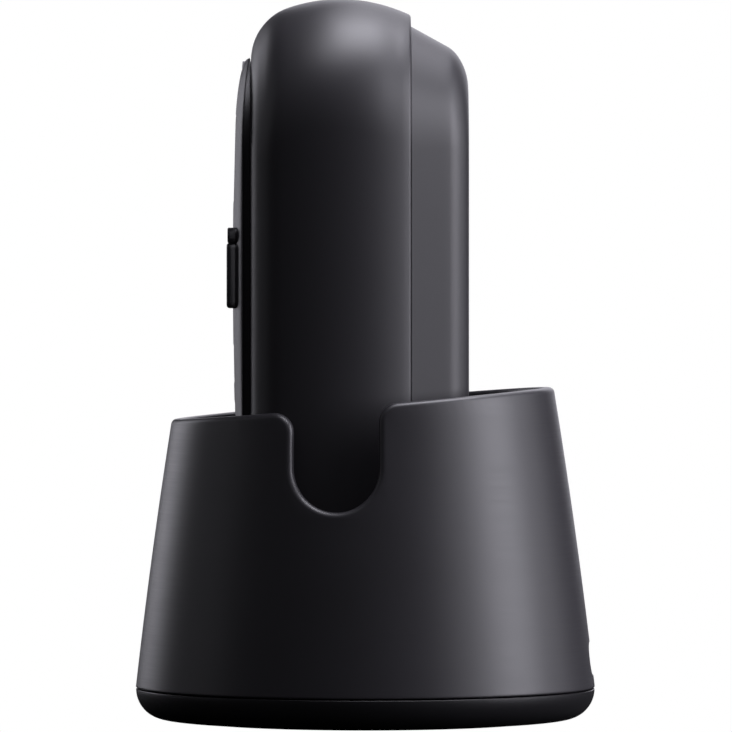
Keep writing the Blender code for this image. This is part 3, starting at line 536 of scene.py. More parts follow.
# Aluminium cans of the loudspeakers and microphone, drawn and satin.
drawn_aluminium = surface("drawn_aluminium", "#9C9DA0", "#AEAFB2", 0.35, cloud_mm=3.0, grain_mm=0.2,
                          relief_mm=0.002, metallic=1.0)
# Solder mask over glass-fibre laminate: green, glossy, the weave just showing.
board_laminate = surface("solder_masked_laminate", "#12402A", "#1A5236", 0.3, cloud_mm=3.0, grain_mm=0.6,
                         relief_mm=0.006)
# PVC shrink sleeve on the cells: glossy blue.
cell_sleeve = surface("pvc_shrink_sleeve", "#2C5478", "#356188", 0.3, cloud_mm=8.0, grain_mm=0.4,
                      relief_mm=0.004)
# Translucent silicone keypad sheet.
mat_silicone = surface("clear_silicone_sheet", "#8C8C8A", "#9A9A98", 0.5, ior=1.41)
# Black liquid-crystal polymer of the inlet's tongue.
inlet_plastic = surface("black_lcp_moulded", "#101010", "#181818", 0.5, grain_mm=0.2)
# Unlit display module: a dark grey-green polariser over glass.
display_film = surface("polariser_film", "#1A1F1E", "#202625", 0.25, cloud_mm=6.0, relief_mm=0.001)


def smoked_acrylic():
    """Injection-moulded acrylic window, polished, printed black behind its border.

    Only the middle is clear, and there the unlit display shows as a slightly greener dark grey.
    """
    material = surface("smoked_acrylic_polished", "#060607", "#08080A", 0.06, spread_of_gloss=0.015,
                       cloud_mm=9.0, grain_mm=2.0, relief_mm=0.0005, ior=1.49)
    tree = material.node_tree
    shader = tree.nodes["Principled BSDF"]
    border = shader.inputs["Base Color"].links[0].from_socket
    place = add_node(material, "ShaderNodeTexCoord").outputs["Object"]
    centre = (0.0, 0.0, -LENS[1] * MM)
    moved = add_node(material, "ShaderNodeMapping", {"Vector": place, "Location": centre}).outputs["Vector"]
    parts = add_node(material, "ShaderNodeSeparateXYZ", {"Vector": moved})
    inside = []
    for axis, half in (("X", LENS[2] - 2.2), ("Z", LENS[3] - 1.7)):
        size = add_node(material, "ShaderNodeMath", {0: parts.outputs[axis]}, operation="ABSOLUTE")
        near = add_node(material, "ShaderNodeMapRange", {"Value": size.outputs[0],
                                                         "From Min": (half + 0.05) * MM,
                                                         "From Max": (half - 0.05) * MM})
        inside.append(near.outputs["Result"])
    both = add_node(material, "ShaderNodeMath", {0: inside[0], 1: inside[1]}, operation="MULTIPLY")
    window = add_node(material, "ShaderNodeMix", {0: both.outputs[0]}, data_type="RGBA")
    window.inputs["B"].default_value = linear("#1C2221")
    tree.links.new(border, window.inputs["A"])
    colour = [socket for socket in window.outputs if socket.type == "RGBA"][0]
    tree.links.new(colour, shader.inputs["Base Color"])
    return material


# ---------------------------------------------------------------- base

def rim_place(angle, inset):
    """A point of the rim on the flat sheet, at an angle from +Y round the cup."""
    z = RIM_Z
    for _ in range(4):
        z = RIM_Z - inset * math.hypot(1.0, RIM_SLOPE) + RIM_SLOPE * wall_radius(z) * math.cos(angle)
    return angle * ROLL_RADIUS, z


def flat_place(y, z):
    """Where a point of the wall seen from the side lies on the flat sheet."""
    return math.acos(y / wall_radius(z)) * ROLL_RADIUS, z


def notch_places(inset):
    """Finger notch, from the rim on its -Y side round to the rim on its +Y side."""
    tilt = math.degrees(math.atan(RIM_SLOPE))
    steps = 9
    sides = []
    for side in (-1, 1):
        y = NOTCH_Y + side * (NOTCH_RADIUS + NOTCH_CORNER)
        z = RIM_Z + RIM_SLOPE * y - NOTCH_CORNER * math.hypot(1.0, RIM_SLOPE)
        start = 0 if side < 0 else 180
        sides.append(arc((y, z), NOTCH_CORNER - inset, start, 90 + tilt, steps))
    centre = (NOTCH_Y, NOTCH_BOTTOM + NOTCH_RADIUS)
    bottom = arc(centre, NOTCH_RADIUS + inset, 180, 360, 28)
    return [flat_place(y, z) for y, z in sides[0][::-1] + bottom + sides[1]]


def sheet_outline(inset):
    """The cup wall rolled out flat, with its slanted rim and two notches; x is the way round."""
    end = math.pi + 0.12
    notch = notch_places(inset)
    before = spread(end, notch[0][0] / ROLL_RADIUS, -math.radians(3))
    after = spread(notch[-1][0] / ROLL_RADIUS, 0.0, -math.radians(3)) + [0.0]
    half = [rim_place(angle, inset) for angle in [end] + before] + notch
    half += [rim_place(angle, inset) for angle in after]
    low = SEAM_Z - 3.0
    mirrored = [(-s, z) for s, z in reversed(half[:-1])]
    return [(-end * ROLL_RADIUS, low), (end * ROLL_RADIUS, low)] + half + mirrored


def cup_wall():
    """Rounds the edges of the flat sheet, rolls it into the cup and closes its foot."""
    round_off = edge_steps(RIM_EDGE, 6)
    loops = [lift(sheet_outline(inset), WALL - depth, "Y") for inset, depth in reversed(round_off)]
    loops += [lift(sheet_outline(inset), depth, "Y") for inset, depth in round_off]
    bm = stack(loops)
    half_turn = math.pi * ROLL_RADIUS
    foot = SEAM_Z + SEAM_SHUT
    slice_across(bm, (0, 0, 1), [foot], -1)
    slice_across(bm, (1, 0, 0), [-half_turn], -1)
    slice_across(bm, (1, 0, 0), [half_turn], 1)
    slice_across(bm, (1, 0, 0), spread(-half_turn, half_turn, ROLL_RADIUS * math.radians(3)))
    slice_across(bm, (0, 0, 1), [foot + 0.4] + spread(foot + 0.4, RIM_Z, 2.4))
    for vert in bm.verts:
        angle = vert.co.x / ROLL_RADIUS
        radius = wall_radius(vert.co.z) - vert.co.y
        vert.co = (radius * math.sin(angle), radius * math.cos(angle), vert.co.z)
    bmesh.ops.remove_doubles(bm, verts=bm.verts, dist=0.001)
    bmesh.ops.bridge_loops(bm, edges=[edge for edge in bm.edges if edge.is_boundary])
    bmesh.ops.recalc_face_normals(bm, faces=bm.faces)
    outer = wall_radius(foot) - 0.1
    rim_edges = [edge for edge in bm.edges
                 if all(abs(v.co.z - foot) < 0.001 and v.co.xy.length > outer for v in edge.verts)]
    bmesh.ops.bevel(bm, geom=rim_edges, offset=0.2, segments=3, profile=0.5, affect="EDGES", material=-1)
    slot = [lift(rounded(0, INLET_Z, 5.1 + grow, 2.3 + grow, 2.2 + grow, 8), y, "Y")
            for grow, y in ((0.0, 28.0), (0.0, 33.3), (0.35, 34.0), (0.5, 38.0))]
    return carve(bm, stack(slot))


def bottom_pan():
    """Saucer with an elliptical side, a groove for the foot ring, screw wells and a shadow line on top."""
    top = SEAM_Z - SEAM_SHUT
    side = [(PAN_EDGE_RADIUS + PAN_EDGE_WIDTH * math.cos(a), top - PAN_EDGE_HEIGHT * math.sin(a))
            for a in (math.radians(4.5 * i) for i in range(1, 21))]
    edge = [(SEAM_RADIUS - 0.3, top), (SEAM_RADIUS - 0.14, top - 0.03), (SEAM_RADIUS - 0.06, top - 0.12)]
    floor = top - PAN_EDGE_HEIGHT
    groove = [(FOOT_OUTER + 0.3, floor), (FOOT_OUTER, floor + 0.2), (FOOT_OUTER, 1.2), (FOOT_INNER, 1.2),
              (FOOT_INNER, floor + 0.2), (FOOT_INNER - 0.3, floor), (20.0, floor + 0.2), (0, floor + 0.25)]
    inside = [(0, 2.0), (31.2, 2.0), (32.4, top - 0.6), (32.6, top)]
    bm = turned(inside + edge + side + groove, sides=120)
    places = [middle(name) for name in BASE_SCREWS]
    bm = carve(bm, together(prism(circle(p.x, p.y, 3.0), 1.6, top - 0.3) for p in places), "UNION")
    wells = []
    for p in places:
        profile = ((SCREW_HEAD + 0.6, -1.0), (SCREW_HEAD + 0.6, floor), (SCREW_HEAD + GAP, floor + 0.45),
                   (SCREW_HEAD + GAP, 2.6), (SCREW_SHANK + GAP, 2.61), (SCREW_SHANK + GAP, 6.0))
        wells.append(stack([lift(circle(p.x, p.y, radius), z) for radius, z in profile]))
    return carve(bm, together(wells))


def foot_ring():
    low, high = box("foot_ring")
    outer, inner = high.x, high.x - 3.5
    profile = [(outer - 0.3, low.z), (outer - 0.09, low.z + 0.09), (outer, low.z + 0.3), (outer, high.z),
               (inner, high.z), (inner, low.z + 0.3), (inner + 0.09, low.z + 0.09), (inner + 0.3, low.z)]
    return turned(profile, sides=120, ring=True)


def cradle_tray():
    """Deck across the cup with the pocket that the handset stands in."""
    low = DECK_TOP - DECK_THICK
    rim = wall_radius(DECK_TOP) - WALL - GAP
    profile = [(0, DECK_TOP), (rim - 0.3, DECK_TOP), (rim, DECK_TOP - 0.3), (rim, low), (0, low)]
    deck = turned(profile, sides=120)
    tub = prism(pocket_outline(POCKET_GAP + POCKET_WALL), POCKET_FLOOR - 1.5, low + 0.6)
    tray = carve(deck, tub, "UNION")
    places = [middle(name) for name in BASE_SCREWS]
    bosses = [prism(circle(p.x, p.y, 2.4), SEAM_Z + 0.4, POCKET_FLOOR - 1.0) for p in places]
    tray = carve(tray, together(bosses), "UNION")
    loops = [lift(pocket_outline(POCKET_GAP - inset), POCKET_FLOOR + depth) for inset, depth in
             reversed(edge_steps(0.8, 4))]
    for a in (math.radians(18 * i) for i in range(6)):
        spare = POCKET_GAP + POCKET_LIP * (1.0 - math.cos(a))
        loops.append(lift(pocket_outline(spare), DECK_TOP - POCKET_LIP * (1.0 - math.sin(a))))
    loops.append(lift(pocket_outline(POCKET_GAP + POCKET_LIP), DECK_TOP + 4.0))
    tray = carve(tray, stack(loops))
    holes = [prism(circle(p.x, p.y, SCREW_SHANK + GAP, 20), 0.0, POCKET_FLOOR - 1.2) for p in places]
    for pin in ("contact_pin_left", "contact_pin_right"):
        p = middle(pin)
        holes.append(prism(circle(p.x, p.y, 1.3), 8.0, POCKET_FLOOR + 3.0))
    return carve(tray, together(holes))


def contact_pin(name):
    """Turned contact with a domed tip and a retaining shoulder."""
    low, high = box(name)
    p, radius = (low + high) / 2, (high.x - low.x) / 2
    tip = 0.6
    dome = [(radius * math.cos(a), high.z - tip + tip * math.sin(a))
            for a in (math.radians(15 * i) for i in range(7))]
    return turned([(0, low.z), (radius - 0.1, low.z), (radius, low.z + 0.1)] + dome, (p.x, p.y, 0), sides=32)


def screw(name, axis):
    """Pan-head screw with a rounded head and a tapered cross recess."""
    low, high = box(name)
    p = (low + high) / 2
    if axis == "Z":
        start, end, sign = low.z, high.z, 1
    else:
        start, end, sign = high.y, low.y, -1
    thick = DOOR_HEAD_THICK if name == "battery_door_screw" else HEAD_THICK
    length = abs(end - start)
    crown = [(1.1, 0.0), (1.5, 0.08), (1.72, 0.26), (SCREW_HEAD, 0.5), (SCREW_HEAD, thick)]
    shank = [(SCREW_SHANK, thick), (SCREW_SHANK, length - 1.0), (0, length)]
    profile = [(radius, start + sign * height) for radius, height in [(0, 0.0)] + crown + shank]
    centre = (p.x, p.y, 0) if axis == "Z" else (p.x, 0, p.z)
    body = turned(profile, centre, axis, sides=40)
    flat = (p.x, p.y) if axis == "Z" else (p.x, p.z)
    loops = []
    for height, half, slit in ((-0.3, 1.1, 0.22), (0.0, 1.05, 0.2), (min(0.6, thick - 0.15), 0.55, 0.14)):
        cross = [(half, slit), (slit, slit), (slit, half), (-slit, half), (-slit, slit), (-half, slit),
                 (-half, -slit), (-slit, -slit), (-slit, -half), (slit, -half), (slit, -slit), (half, -slit)]
        loops.append(lift([(flat[0] + a, flat[1] + b) for a, b in cross], start + sign * height, axis))
    return carve(body, stack(loops))


def inlet_shell():
    """Folded steel mouth of the power inlet."""
    low, high = box("inlet_shell")
    half_x, half_z = half_size("inlet_shell").x, half_size("inlet_shell").z

    def outline(inset):
        return rounded(0, INLET_Z, half_x - inset, half_z - inset, half_z - 0.1 - inset, 8)

    shell = cushioned(outline, low.y, high.y, 0.1, 0.12, "Y")
    mouth = [(0.4, low.y + 0.8), (0.4, high.y - 0.25), (0.22, high.y), (0.2, high.y + 2.0)]
    return carve(shell, stack([lift(outline(inset), y, "Y") for inset, y in mouth]))


def inlet_tongue():
    low, high = box("inlet_tongue")
    half = half_size("inlet_tongue")
    return cushioned(lambda inset: rounded(0, INLET_Z, half.x - inset, half.z - inset, 0.3 - inset),
                     low.y, high.y, 0.1, 0.15, "Y")


def inlet_strips():
    """Spring strips on both faces of the tongue."""
    low, high = box("inlet_tongue")
    half = half_size("inlet_tongue")
    strips = []
    for side in (1, -1):
        for number in range(6):
            x = (number - 2.5) * 0.95
            z = INLET_Z + side * (half.z + 0.01)
            strips.append(prism(rounded(x, z, 0.25, 0.04, 0.03, 2), low.y + 0.6, high.y - 0.4, "Y"))
    return together(strips)


# ---------------------------------------------------------------- handset

def body_band():
    """Middle shell: domed top, bowed sides, rounded into the front; hollow, open at the back."""
    front = [BAND_FRONT + CROWN_CORNER * (1 - math.cos(math.radians(5.625 * i))) for i in range(17)]
    rest = spread(front[-1], BAND_BACK - BAND_EDGE, 1.2)
    loops = [lift(band_outline(y), y, "Y") for y in front + rest]
    loops += [lift(band_outline(BAND_BACK - depth, inset), BAND_BACK - depth, "Y")
              for inset, depth in edge_steps(BAND_EDGE, 4)]
    band = slice_across(stack(loops), (0, 0, 1), spread(BOTTOM + TOE, TOP - CROWN_RADIUS + 4.0, 4.0))
    inner = [lift(band_outline(y, SHELL), y, "Y") for y in (-15.4, -12.6, -8.0, -3.7, 0.6, 4.2, BAND_BACK)]
    inner.append(lift(band_outline(BAND_BACK, SHELL), BAND_BACK + 2.0, "Y"))
    band = carve(band, stack(inner))
    band = carve(band, prism(neck_outline(-GAP), -25.0, -14.0, "Y"))
    windows = []
    for pad in ("charge_pad_left", "charge_pad_right"):
        p = middle(pad)
        flare = ((0.35, BOTTOM - 2.0), (0.35, BOTTOM), (0.0, BOTTOM + 0.35), (0.0, BOTTOM + 3.0))
        windows.append(stack([lift(rounded(p.x, p.y, 2.4 + grow, 2.2 + grow, 0.6 + grow), z)
                              for grow, z in flare]))
    return carve(band, together(windows))


def screw_well(name, seat):
    """Hole for a handset screw, with a wider well for its head open to the back."""
    p = middle(name)
    profile = ((SCREW_SHANK + 0.2, 0.0), (SCREW_SHANK + 0.2, seat), (SCREW_HEAD + 0.2, seat + 0.01),
               (SCREW_HEAD + 0.2, BACK - 0.25), (SCREW_HEAD + 0.45, BACK), (SCREW_HEAD + 0.6, BACK + 2.0))
    return stack([lift(circle(p.x, p.z, radius), y, "Y") for radius, y in profile])


def back_shell():
    """Rear shell: sloping sides and top, a rounded back, the ringer's slots and the battery bay's mouth."""
    front = BAND_BACK + JOINT
    corner = BACK - BACK_CORNER
    loops = [lift(back_outline(y, BACK_STEP), y, "Y")
             for y in [front] + spread(front, corner, 1.0) + [corner]]
    for step in range(1, 13):
        y = corner + BACK_CORNER * math.sin(math.radians(7.5 * step))
        loops.append(lift(back_outline(y, BACK_STEP), y, "Y"))
    shell = slice_across(stack(loops), (0, 0, 1), spread(BOTTOM + TOE, 80.0, 4.0))
    lip = prism(back_outline(front, SHELL + 0.1), BAND_BACK - 1.0, front + 0.5, "Y")
    shell = carve(shell, lip, "UNION")
    inner = [lift(back_outline(front, SHELL + 1.0), y, "Y") for y in (front - 3.0, front + 0.8)]
    inner += [lift(back_outline(y, SHELL), y, "Y") for y in (front + 1.8, 10.0, 12.4, 14.0)]
    shell = carve(shell, stack(inner))
    door = middle("battery_door")
    half = half_size("battery_door")
    ringer_z = middle("ringer_speaker").z
    flare = ((0.0, 12.0), (0.0, BACK - 0.2), (0.2, BACK), (0.3, BACK + 2.0))
    cuts = [stack([lift(rounded(0, door.z, half.x + GAP + grow, half.z + GAP + grow, 2.0 + grow), y, "Y")
                   for grow, y in flare])]
    for row in range(3):
        z = ringer_z + 3.0 * (row - 1)
        cuts.append(stack([lift(rounded(0, z, 5.0 + grow, 0.5 + grow, 0.48 + grow), y, "Y")
                           for grow, y in flare]))
    cuts += [screw_well(name, 13.3) for name in HANDSET_SCREWS]
    return carve(shell, together(cuts))


def battery_door():
    low, high = box("battery_door")
    half = half_size("battery_door")
    z = middle("battery_door").z

    def outline(inset):
        return rounded(0, z, half.x - inset, half.z - inset, 1.7 - inset, 8)

    door = cushioned(outline, low.y, high.y, 0.1, 0.35, "Y")
    grips = [prism(rounded(0, low.z + 5.0 + 1.1 * row, 3.6, 0.22, 0.2, 4), high.y - 0.25, high.y + 1.0, "Y")
             for row in range(4)]
    return carve(door, together(grips + [screw_well("battery_door_screw", 14.3)]))


def opening(cx, cz, half_x, half_z, corner, chamfer=0.15, start=0.0, depth=4.5):
    """Cutter that sinks into a front surface, a little wider at the start to break the edge."""
    profile = ((chamfer, -1.0), (chamfer, 0.0), (0.0, chamfer), (0.0, depth))
    return stack([lift(rounded(cx, cz, half_x + grow, half_z + grow, corner + grow), start + y, "Y")
                  for grow, y in profile])


def raised(shape, front, edge):
    """Low block that stands out of the plate: rounded round its face, its short sides sloping."""
    cx, cz, half_x, half_z = shape
    loops = [lift(rounded(cx, cz, half_x - inset, half_z - inset, 1.0 - inset), front + depth, "Y")
             for inset, depth in reversed(edge_steps(edge))]
    loops.append(lift(rounded(cx, cz, half_x + RAISED_SPLAY, half_z, 1.0), -19.3, "Y"))
    loops.append(lift(rounded(cx, cz, half_x + RAISED_SPLAY, half_z, 1.0), -18.7, "Y"))
    return stack(loops)


def front_plate():
    """Bowed front plate, cut flat and then bent, with the neck that carries it."""
    def outline(side, end):
        return tombstone(PLATE_HALF - side, PLATE_BOTTOM + end, PLATE_TOP - end,
                         PLATE_BOTTOM_CORNER - end, PLATE_TOP_CORNER - end, 20)

    shares = [0.0, 0.08, 0.18, 0.3, 0.43, 0.56, 0.68, 0.78, 0.87, 0.94, 1.0]
    loops = []
    for share in shares:
        side = PLATE_SIDE_WIDTH * (1.0 - share) ** PLATE_SIDE_CURVE
        loops.append(lift(outline(side, PLATE_END_ROUND * (1.0 - share)), PLATE_SIDE_DEPTH * share, "Y"))
    loops.append(lift(outline(0.15, 0.02), PLATE_THICK, "Y"))
    plate = stack(loops)
    cuts = []
    for name in DIGIT_KEYS:
        p, half = middle(name), half_size(name)
        cuts.append(opening(p.x, p.z, half.x - FLANGE + GAP, half.z - FLANGE + GAP, KEY_CORNER + GAP))
    cuts.append(opening(*LENS, 1.6, depth=1.0))
    cx, cz, half_x, half_z = EARPIECE
    cuts.append(opening(cx, cz, half_x + 0.8, half_z + 0.6, 1.3, 0.3, depth=0.8))
    cuts.append(opening(MIC[0], MIC[1], MIC[2], MIC[2], MIC[2]))
    plate = carve(plate, together(cuts))
    plate = carve(plate, prism(rounded(*EARPIECE, 0.7), 0.5, PLATE_THICK + 1.0, "Y"))
    ends = [0.05, 0.15, 0.3, 0.5, 0.8, 1.2, 1.7, 2.3, 3.0, 4.0]
    levels = [PLATE_BOTTOM + end for end in ends] + [PLATE_TOP - end for end in ends]
    slice_across(plate, (0, 0, 1), levels + spread(PLATE_BOTTOM + 4.0, PLATE_TOP - 4.0, 1.6))
    for vert in plate.verts:
        front, rear = plate_front_y(vert.co.z), plate_rear_y(vert.co.z)
        vert.co.y = front + vert.co.y / PLATE_THICK * (rear - front)
    neck = prism(neck_outline(JOINT - GAP), -18.35, NECK_REAR, "Y")
    inside = prism(neck_outline(NECK_WALL), -19.0, NECK_REAR + 2.0, "Y")
    plate = carve(plate, carve(neck, inside), "UNION")
    plate = carve(plate, raised(PANEL, PANEL_FRONT, 0.45), "UNION")
    plate = carve(plate, raised(RIDGE, RIDGE_FRONT, 0.2), "UNION")
    cuts = []
    for name in CALL_KEYS + ("nav_rocker",):
        p, half = middle(name), half_size(name)
        half_z = half.z if name == "nav_rocker" else half.z - FLANGE
        cuts.append(opening(p.x, p.z, half.x - FLANGE + GAP, half_z + GAP, KEY_CORNER + GAP,
                            start=PANEL_FRONT))
    plate = carve(plate, together(cuts))
    p, half = middle("softkey_bar"), half_size("softkey_bar")
    slot = opening(0, p.z, half.x - FLANGE + GAP, half.z + GAP, half.z, 0.1, RIDGE_FRONT)
    return carve(plate, slot)


def dish_depth(inset):
    """How deep the finger dish is at a distance in from a key's edge."""
    share = min(1.0, max(0.0, inset - 0.35) / 2.2)
    return KEY_DISH * (1.0 - (1.0 - share) ** 2)


def flanged(outline, rear, face):
    """Cap with a flange behind the plate; face holds the loops of its front."""
    front = rear - FLANGE_THICK
    loops = [lift(outline(FLANGE), rear, "Y"), lift(outline(FLANGE), front, "Y"),
             lift(outline(0.0), front - 0.001, "Y")]
    return stack(loops + face)


def keycap(name):
    """Key with a rounded edge and a dished face that follows the plate."""
    p, half = middle(name), half_size(name)
    half_x, half_z = half.x - FLANGE, half.z - FLANGE

    def outline(grow):
        return rounded(p.x, p.z, half_x + grow, half_z + grow, max(0.12, KEY_CORNER + grow), 8)

    face = []
    for inset, depth in edge_steps(0.35) + [(inset, 0.0) for inset in (0.6, 0.95, 1.3, 1.7, 2.2)]:
        if inset < min(half_x, half_z) - 0.15:
            face.append([(x, face_y(name, z) + KEY_SINK + depth + dish_depth(inset), z)
                         for x, z in outline(-inset)])
    return flanged(outline, box(name)[1].y, face)


def on_key(x, z, name):
    """Depth of a key's dished face at a point."""
    p, half = middle(name), half_size(name)
    inset = min(half.x - FLANGE - abs(x - p.x), half.z - FLANGE - abs(z - p.z))
    return face_y(name, z) + KEY_SINK + dish_depth(inset)


def lettering(text, height):
    """A character as a thin solid, centred, in the X-Z plane with its face towards -Y."""
    curve = bpy.data.curves.new("marking", "FONT")
    curve.body = text
    curve.size = FONT_SIZE
    curve.resolution_u = 5
    curve.extrude = INK_THICK / 2
    thing = bpy.data.objects.new("marking", curve)
    bpy.context.scene.collection.objects.link(thing)
    evaluated = thing.evaluated_get(bpy.context.evaluated_depsgraph_get())
    mesh = bpy.data.meshes.new_from_object(evaluated)
    bpy.data.objects.remove(thing)
    bpy.data.curves.remove(curve)
    bm = bmesh.new()
    bm.from_mesh(mesh)
    bpy.data.meshes.remove(mesh)
    bmesh.ops.remove_doubles(bm, verts=bm.verts, dist=0.0001)
    low = Vector([min(v.co[i] for v in bm.verts) for i in range(3)])
    high = Vector([max(v.co[i] for v in bm.verts) for i in range(3)])
    scale = height / FONT_CAPITAL
    bmesh.ops.translate(bm, verts=bm.verts, vec=-(low + high) / 2)
    bmesh.ops.scale(bm, verts=bm.verts, vec=(scale, scale, 1.0))
    bmesh.ops.rotate(bm, verts=bm.verts, cent=(0, 0, 0), matrix=Matrix.Rotation(math.pi / 2, 3, "X"))
    return bm


def handset_mark(turn):
    """Small telephone-receiver symbol; turned over it means hang up."""
    outer = arc((0, -0.9), 1.75, 35, 145, 12)
    inner = arc((0, -0.9), 1.05, 145, 35, 12)
    ends = [(-1.62, -0.42), (-0.72, -0.42)]
    points = outer + ends + inner[1:-1] + [(0.72, -0.42), (1.62, -0.42)]
    spin = Matrix.Rotation(math.radians(turn), 2)
    return prism([tuple(spin @ Vector(point)) for point in points], -INK_THICK / 2, INK_THICK / 2, "Y")


def settle_ink(bm, cx, cz, depth):
    """Lays a thin marking on a face whose depth is a function of place."""
    for vert in bm.verts:
        x, z = vert.co.x + cx, vert.co.z + cz
        vert.co = (x, depth(x, z) + vert.co.y, z)
    return bm


def raised_bar(name, corner, edge):
    """Bar that stands out of a raised block, rounded round its face, its flange on its short sides."""
    low, high = box(name)
    p, half = middle(name), half_size(name)
    half_x = half.x - FLANGE

    def outline(grow):
        return rounded(0, p.z, half_x + grow, half.z + min(grow, 0.0), max(0.1, corner + grow), 8)

    face = [lift(outline(-inset), low.y + depth, "Y") for inset, depth in edge_steps(edge)]
    return flanged(outline, high.y, face)


def softkey_bar():
    """Bar with two softkeys, its ends almost round."""
    return raised_bar("softkey_bar", half_size("softkey_bar").z - 0.1, 0.3)


def nav_rocker():
    """Rocker around the OK key, with a square hole for it."""
    low, high = box("nav_rocker")
    p = middle("nav_rocker")
    rocker = raised_bar("nav_rocker", KEY_CORNER, 0.35)
    hole = OK_HALF + 0.35
    flare = ((0.25, low.y - 2.0), (0.25, low.y), (0.0, low.y + 0.25), (0.0, high.y + 1.0))
    return carve(rocker, stack([lift(rounded(0, p.z, hole + grow, hole + grow, 1.4 + grow, 8), y, "Y")
                                for grow, y in flare]))


def ok_key():
    low, high = box("ok_key")
    z = middle("ok_key").z

    def outline(inset):
        return rounded(0, z, OK_HALF - inset, OK_HALF - inset, max(0.1, 1.05 - inset), 8)

    loops = [lift(outline(0.0), high.y, "Y")]
    dish = [(0.7, 0.02), (1.0, 0.06), (1.4, 0.09)]
    loops += [lift(outline(inset), low.y + depth, "Y") for inset, depth in edge_steps(0.35) + dish]
    return stack(loops)


def screen_lens():
    """Window with a polished rounded edge, following the plate's bow."""
    cx, cz, half_x, half_z = LENS
    rear = box("display_lens")[1].y

    def outline(inset):
        return rounded(cx, cz, half_x - GAP - inset, half_z - GAP - inset, max(0.1, 1.4 - inset), 8)

    loops = [lift(outline(0.0), rear, "Y")]
    for inset, depth in edge_steps(0.15, 3):
        loops.append([(x, plate_front_y(z) + 0.05 + depth, z) for x, z in outline(inset)])
    lens = stack(loops)
    slice_across(lens, (0, 0, 1), spread(cz - half_z, cz + half_z, 1.4))
    for vert in lens.verts:
        if vert.co.y < rear - 0.2 and abs(vert.co.x) < half_x - 0.46:
            vert.co.y = plate_front_y(vert.co.z) + 0.05
    return lens


def earpiece_grille():
    """Thin painted plate with two staggered rows of holes."""
    low, high = box("earpiece_grille")
    p, half = middle("earpiece_grille"), half_size("earpiece_grille")
    plate = cushioned(lambda inset: rounded(0, p.z, half.x - inset, half.z - inset, 1.0 - inset, 8),
                      low.y, high.y, 0.05, 0.08, "Y")
    holes = []
    for row, count in ((0.42, 10), (-0.42, 9)):
        for number in range(count):
            holes.append(prism(circle((number - (count - 1) / 2) * 0.95, p.z + row, 0.27, 12),
                               low.y - 1.0, high.y + 1.0, "Y"))
    return carve(plate, together(holes))


def charge_pad(name):
    low, high = box(name)
    p, half = middle(name), half_size(name)
    return cushioned(lambda inset: rounded(p.x, p.y, half.x - inset, half.y - inset, 0.5 - inset),
                     low.z, high.z, 0.12, 0.05, "Z")


# ---------------------------------------------------------------- assembly

def build_base():
    make_piece(cup_wall(), "cup_wall", cup_abs, "base", "charcoal_abs", "base_housing", sharp=40.0)
    make_piece(bottom_pan(), "bottom_pan", pan_abs, "base", "pan_abs", "base_bottom_pan")
    make_piece(foot_ring(), "rubber_foot", foot_rubber, "base", "foot_rubber", "foot_ring")
    make_piece(cradle_tray(), "cradle_tray", cradle_abs, "base", "cradle_abs", "cradle_insert")
    make_piece(inlet_shell(), "power_inlet", zinc_steel, "base", "zinc_steel", "inlet_shell")
    make_piece(inlet_tongue(), "power_inlet_tongue", inlet_plastic, "base", "inlet_plastic", "inlet_tongue")
    make_piece(inlet_strips(), "power_inlet_strips", gold_plate, "base", "gold_contact")
    for number, name in enumerate(BASE_SCREWS, 1):
        make_piece(screw(name, "Z"), f"pan_screw_{number}", zinc_steel, "base", "zinc_steel", name)
    for name in ("contact_pin_left", "contact_pin_right"):
        make_piece(contact_pin(name), f"charging_{name}", gold_plate, name, "gold_contact", name)


def build_handset():
    make_piece(body_band(), "middle_shell", handset_abs, "handset", "charcoal_abs", "body_band", sharp=40.0)
    make_piece(front_plate(), "front_plate", handset_abs, "handset", "charcoal_abs", "front_cover",
               sharp=40.0)
    make_piece(back_shell(), "rear_shell", handset_abs, "handset", "charcoal_abs", "back_shell", sharp=40.0)
    make_piece(battery_door(), "battery_cover", handset_abs, "handset", "charcoal_abs", "battery_door")
    make_piece(screen_lens(), "screen_window", smoked_acrylic(), "handset", "smoked_acrylic", "display_lens")
    make_piece(earpiece_grille(), "earpiece_mesh", grille_paint, "handset", "grille_metal", "earpiece_grille")
    for name in ("charge_pad_left", "charge_pad_right"):
        make_piece(charge_pad(name), f"contact_{name}", gold_plate, "handset", "gold_contact", name)
    for number, name in enumerate(HANDSET_SCREWS, 1):
        make_piece(screw(name, "Y"), f"rear_screw_{number}", zinc_steel, "handset", "zinc_steel", name)
    make_piece(screw("battery_door_screw", "Y"), "battery_cover_screw", zinc_steel, "handset", "zinc_steel",
               "battery_door_screw")


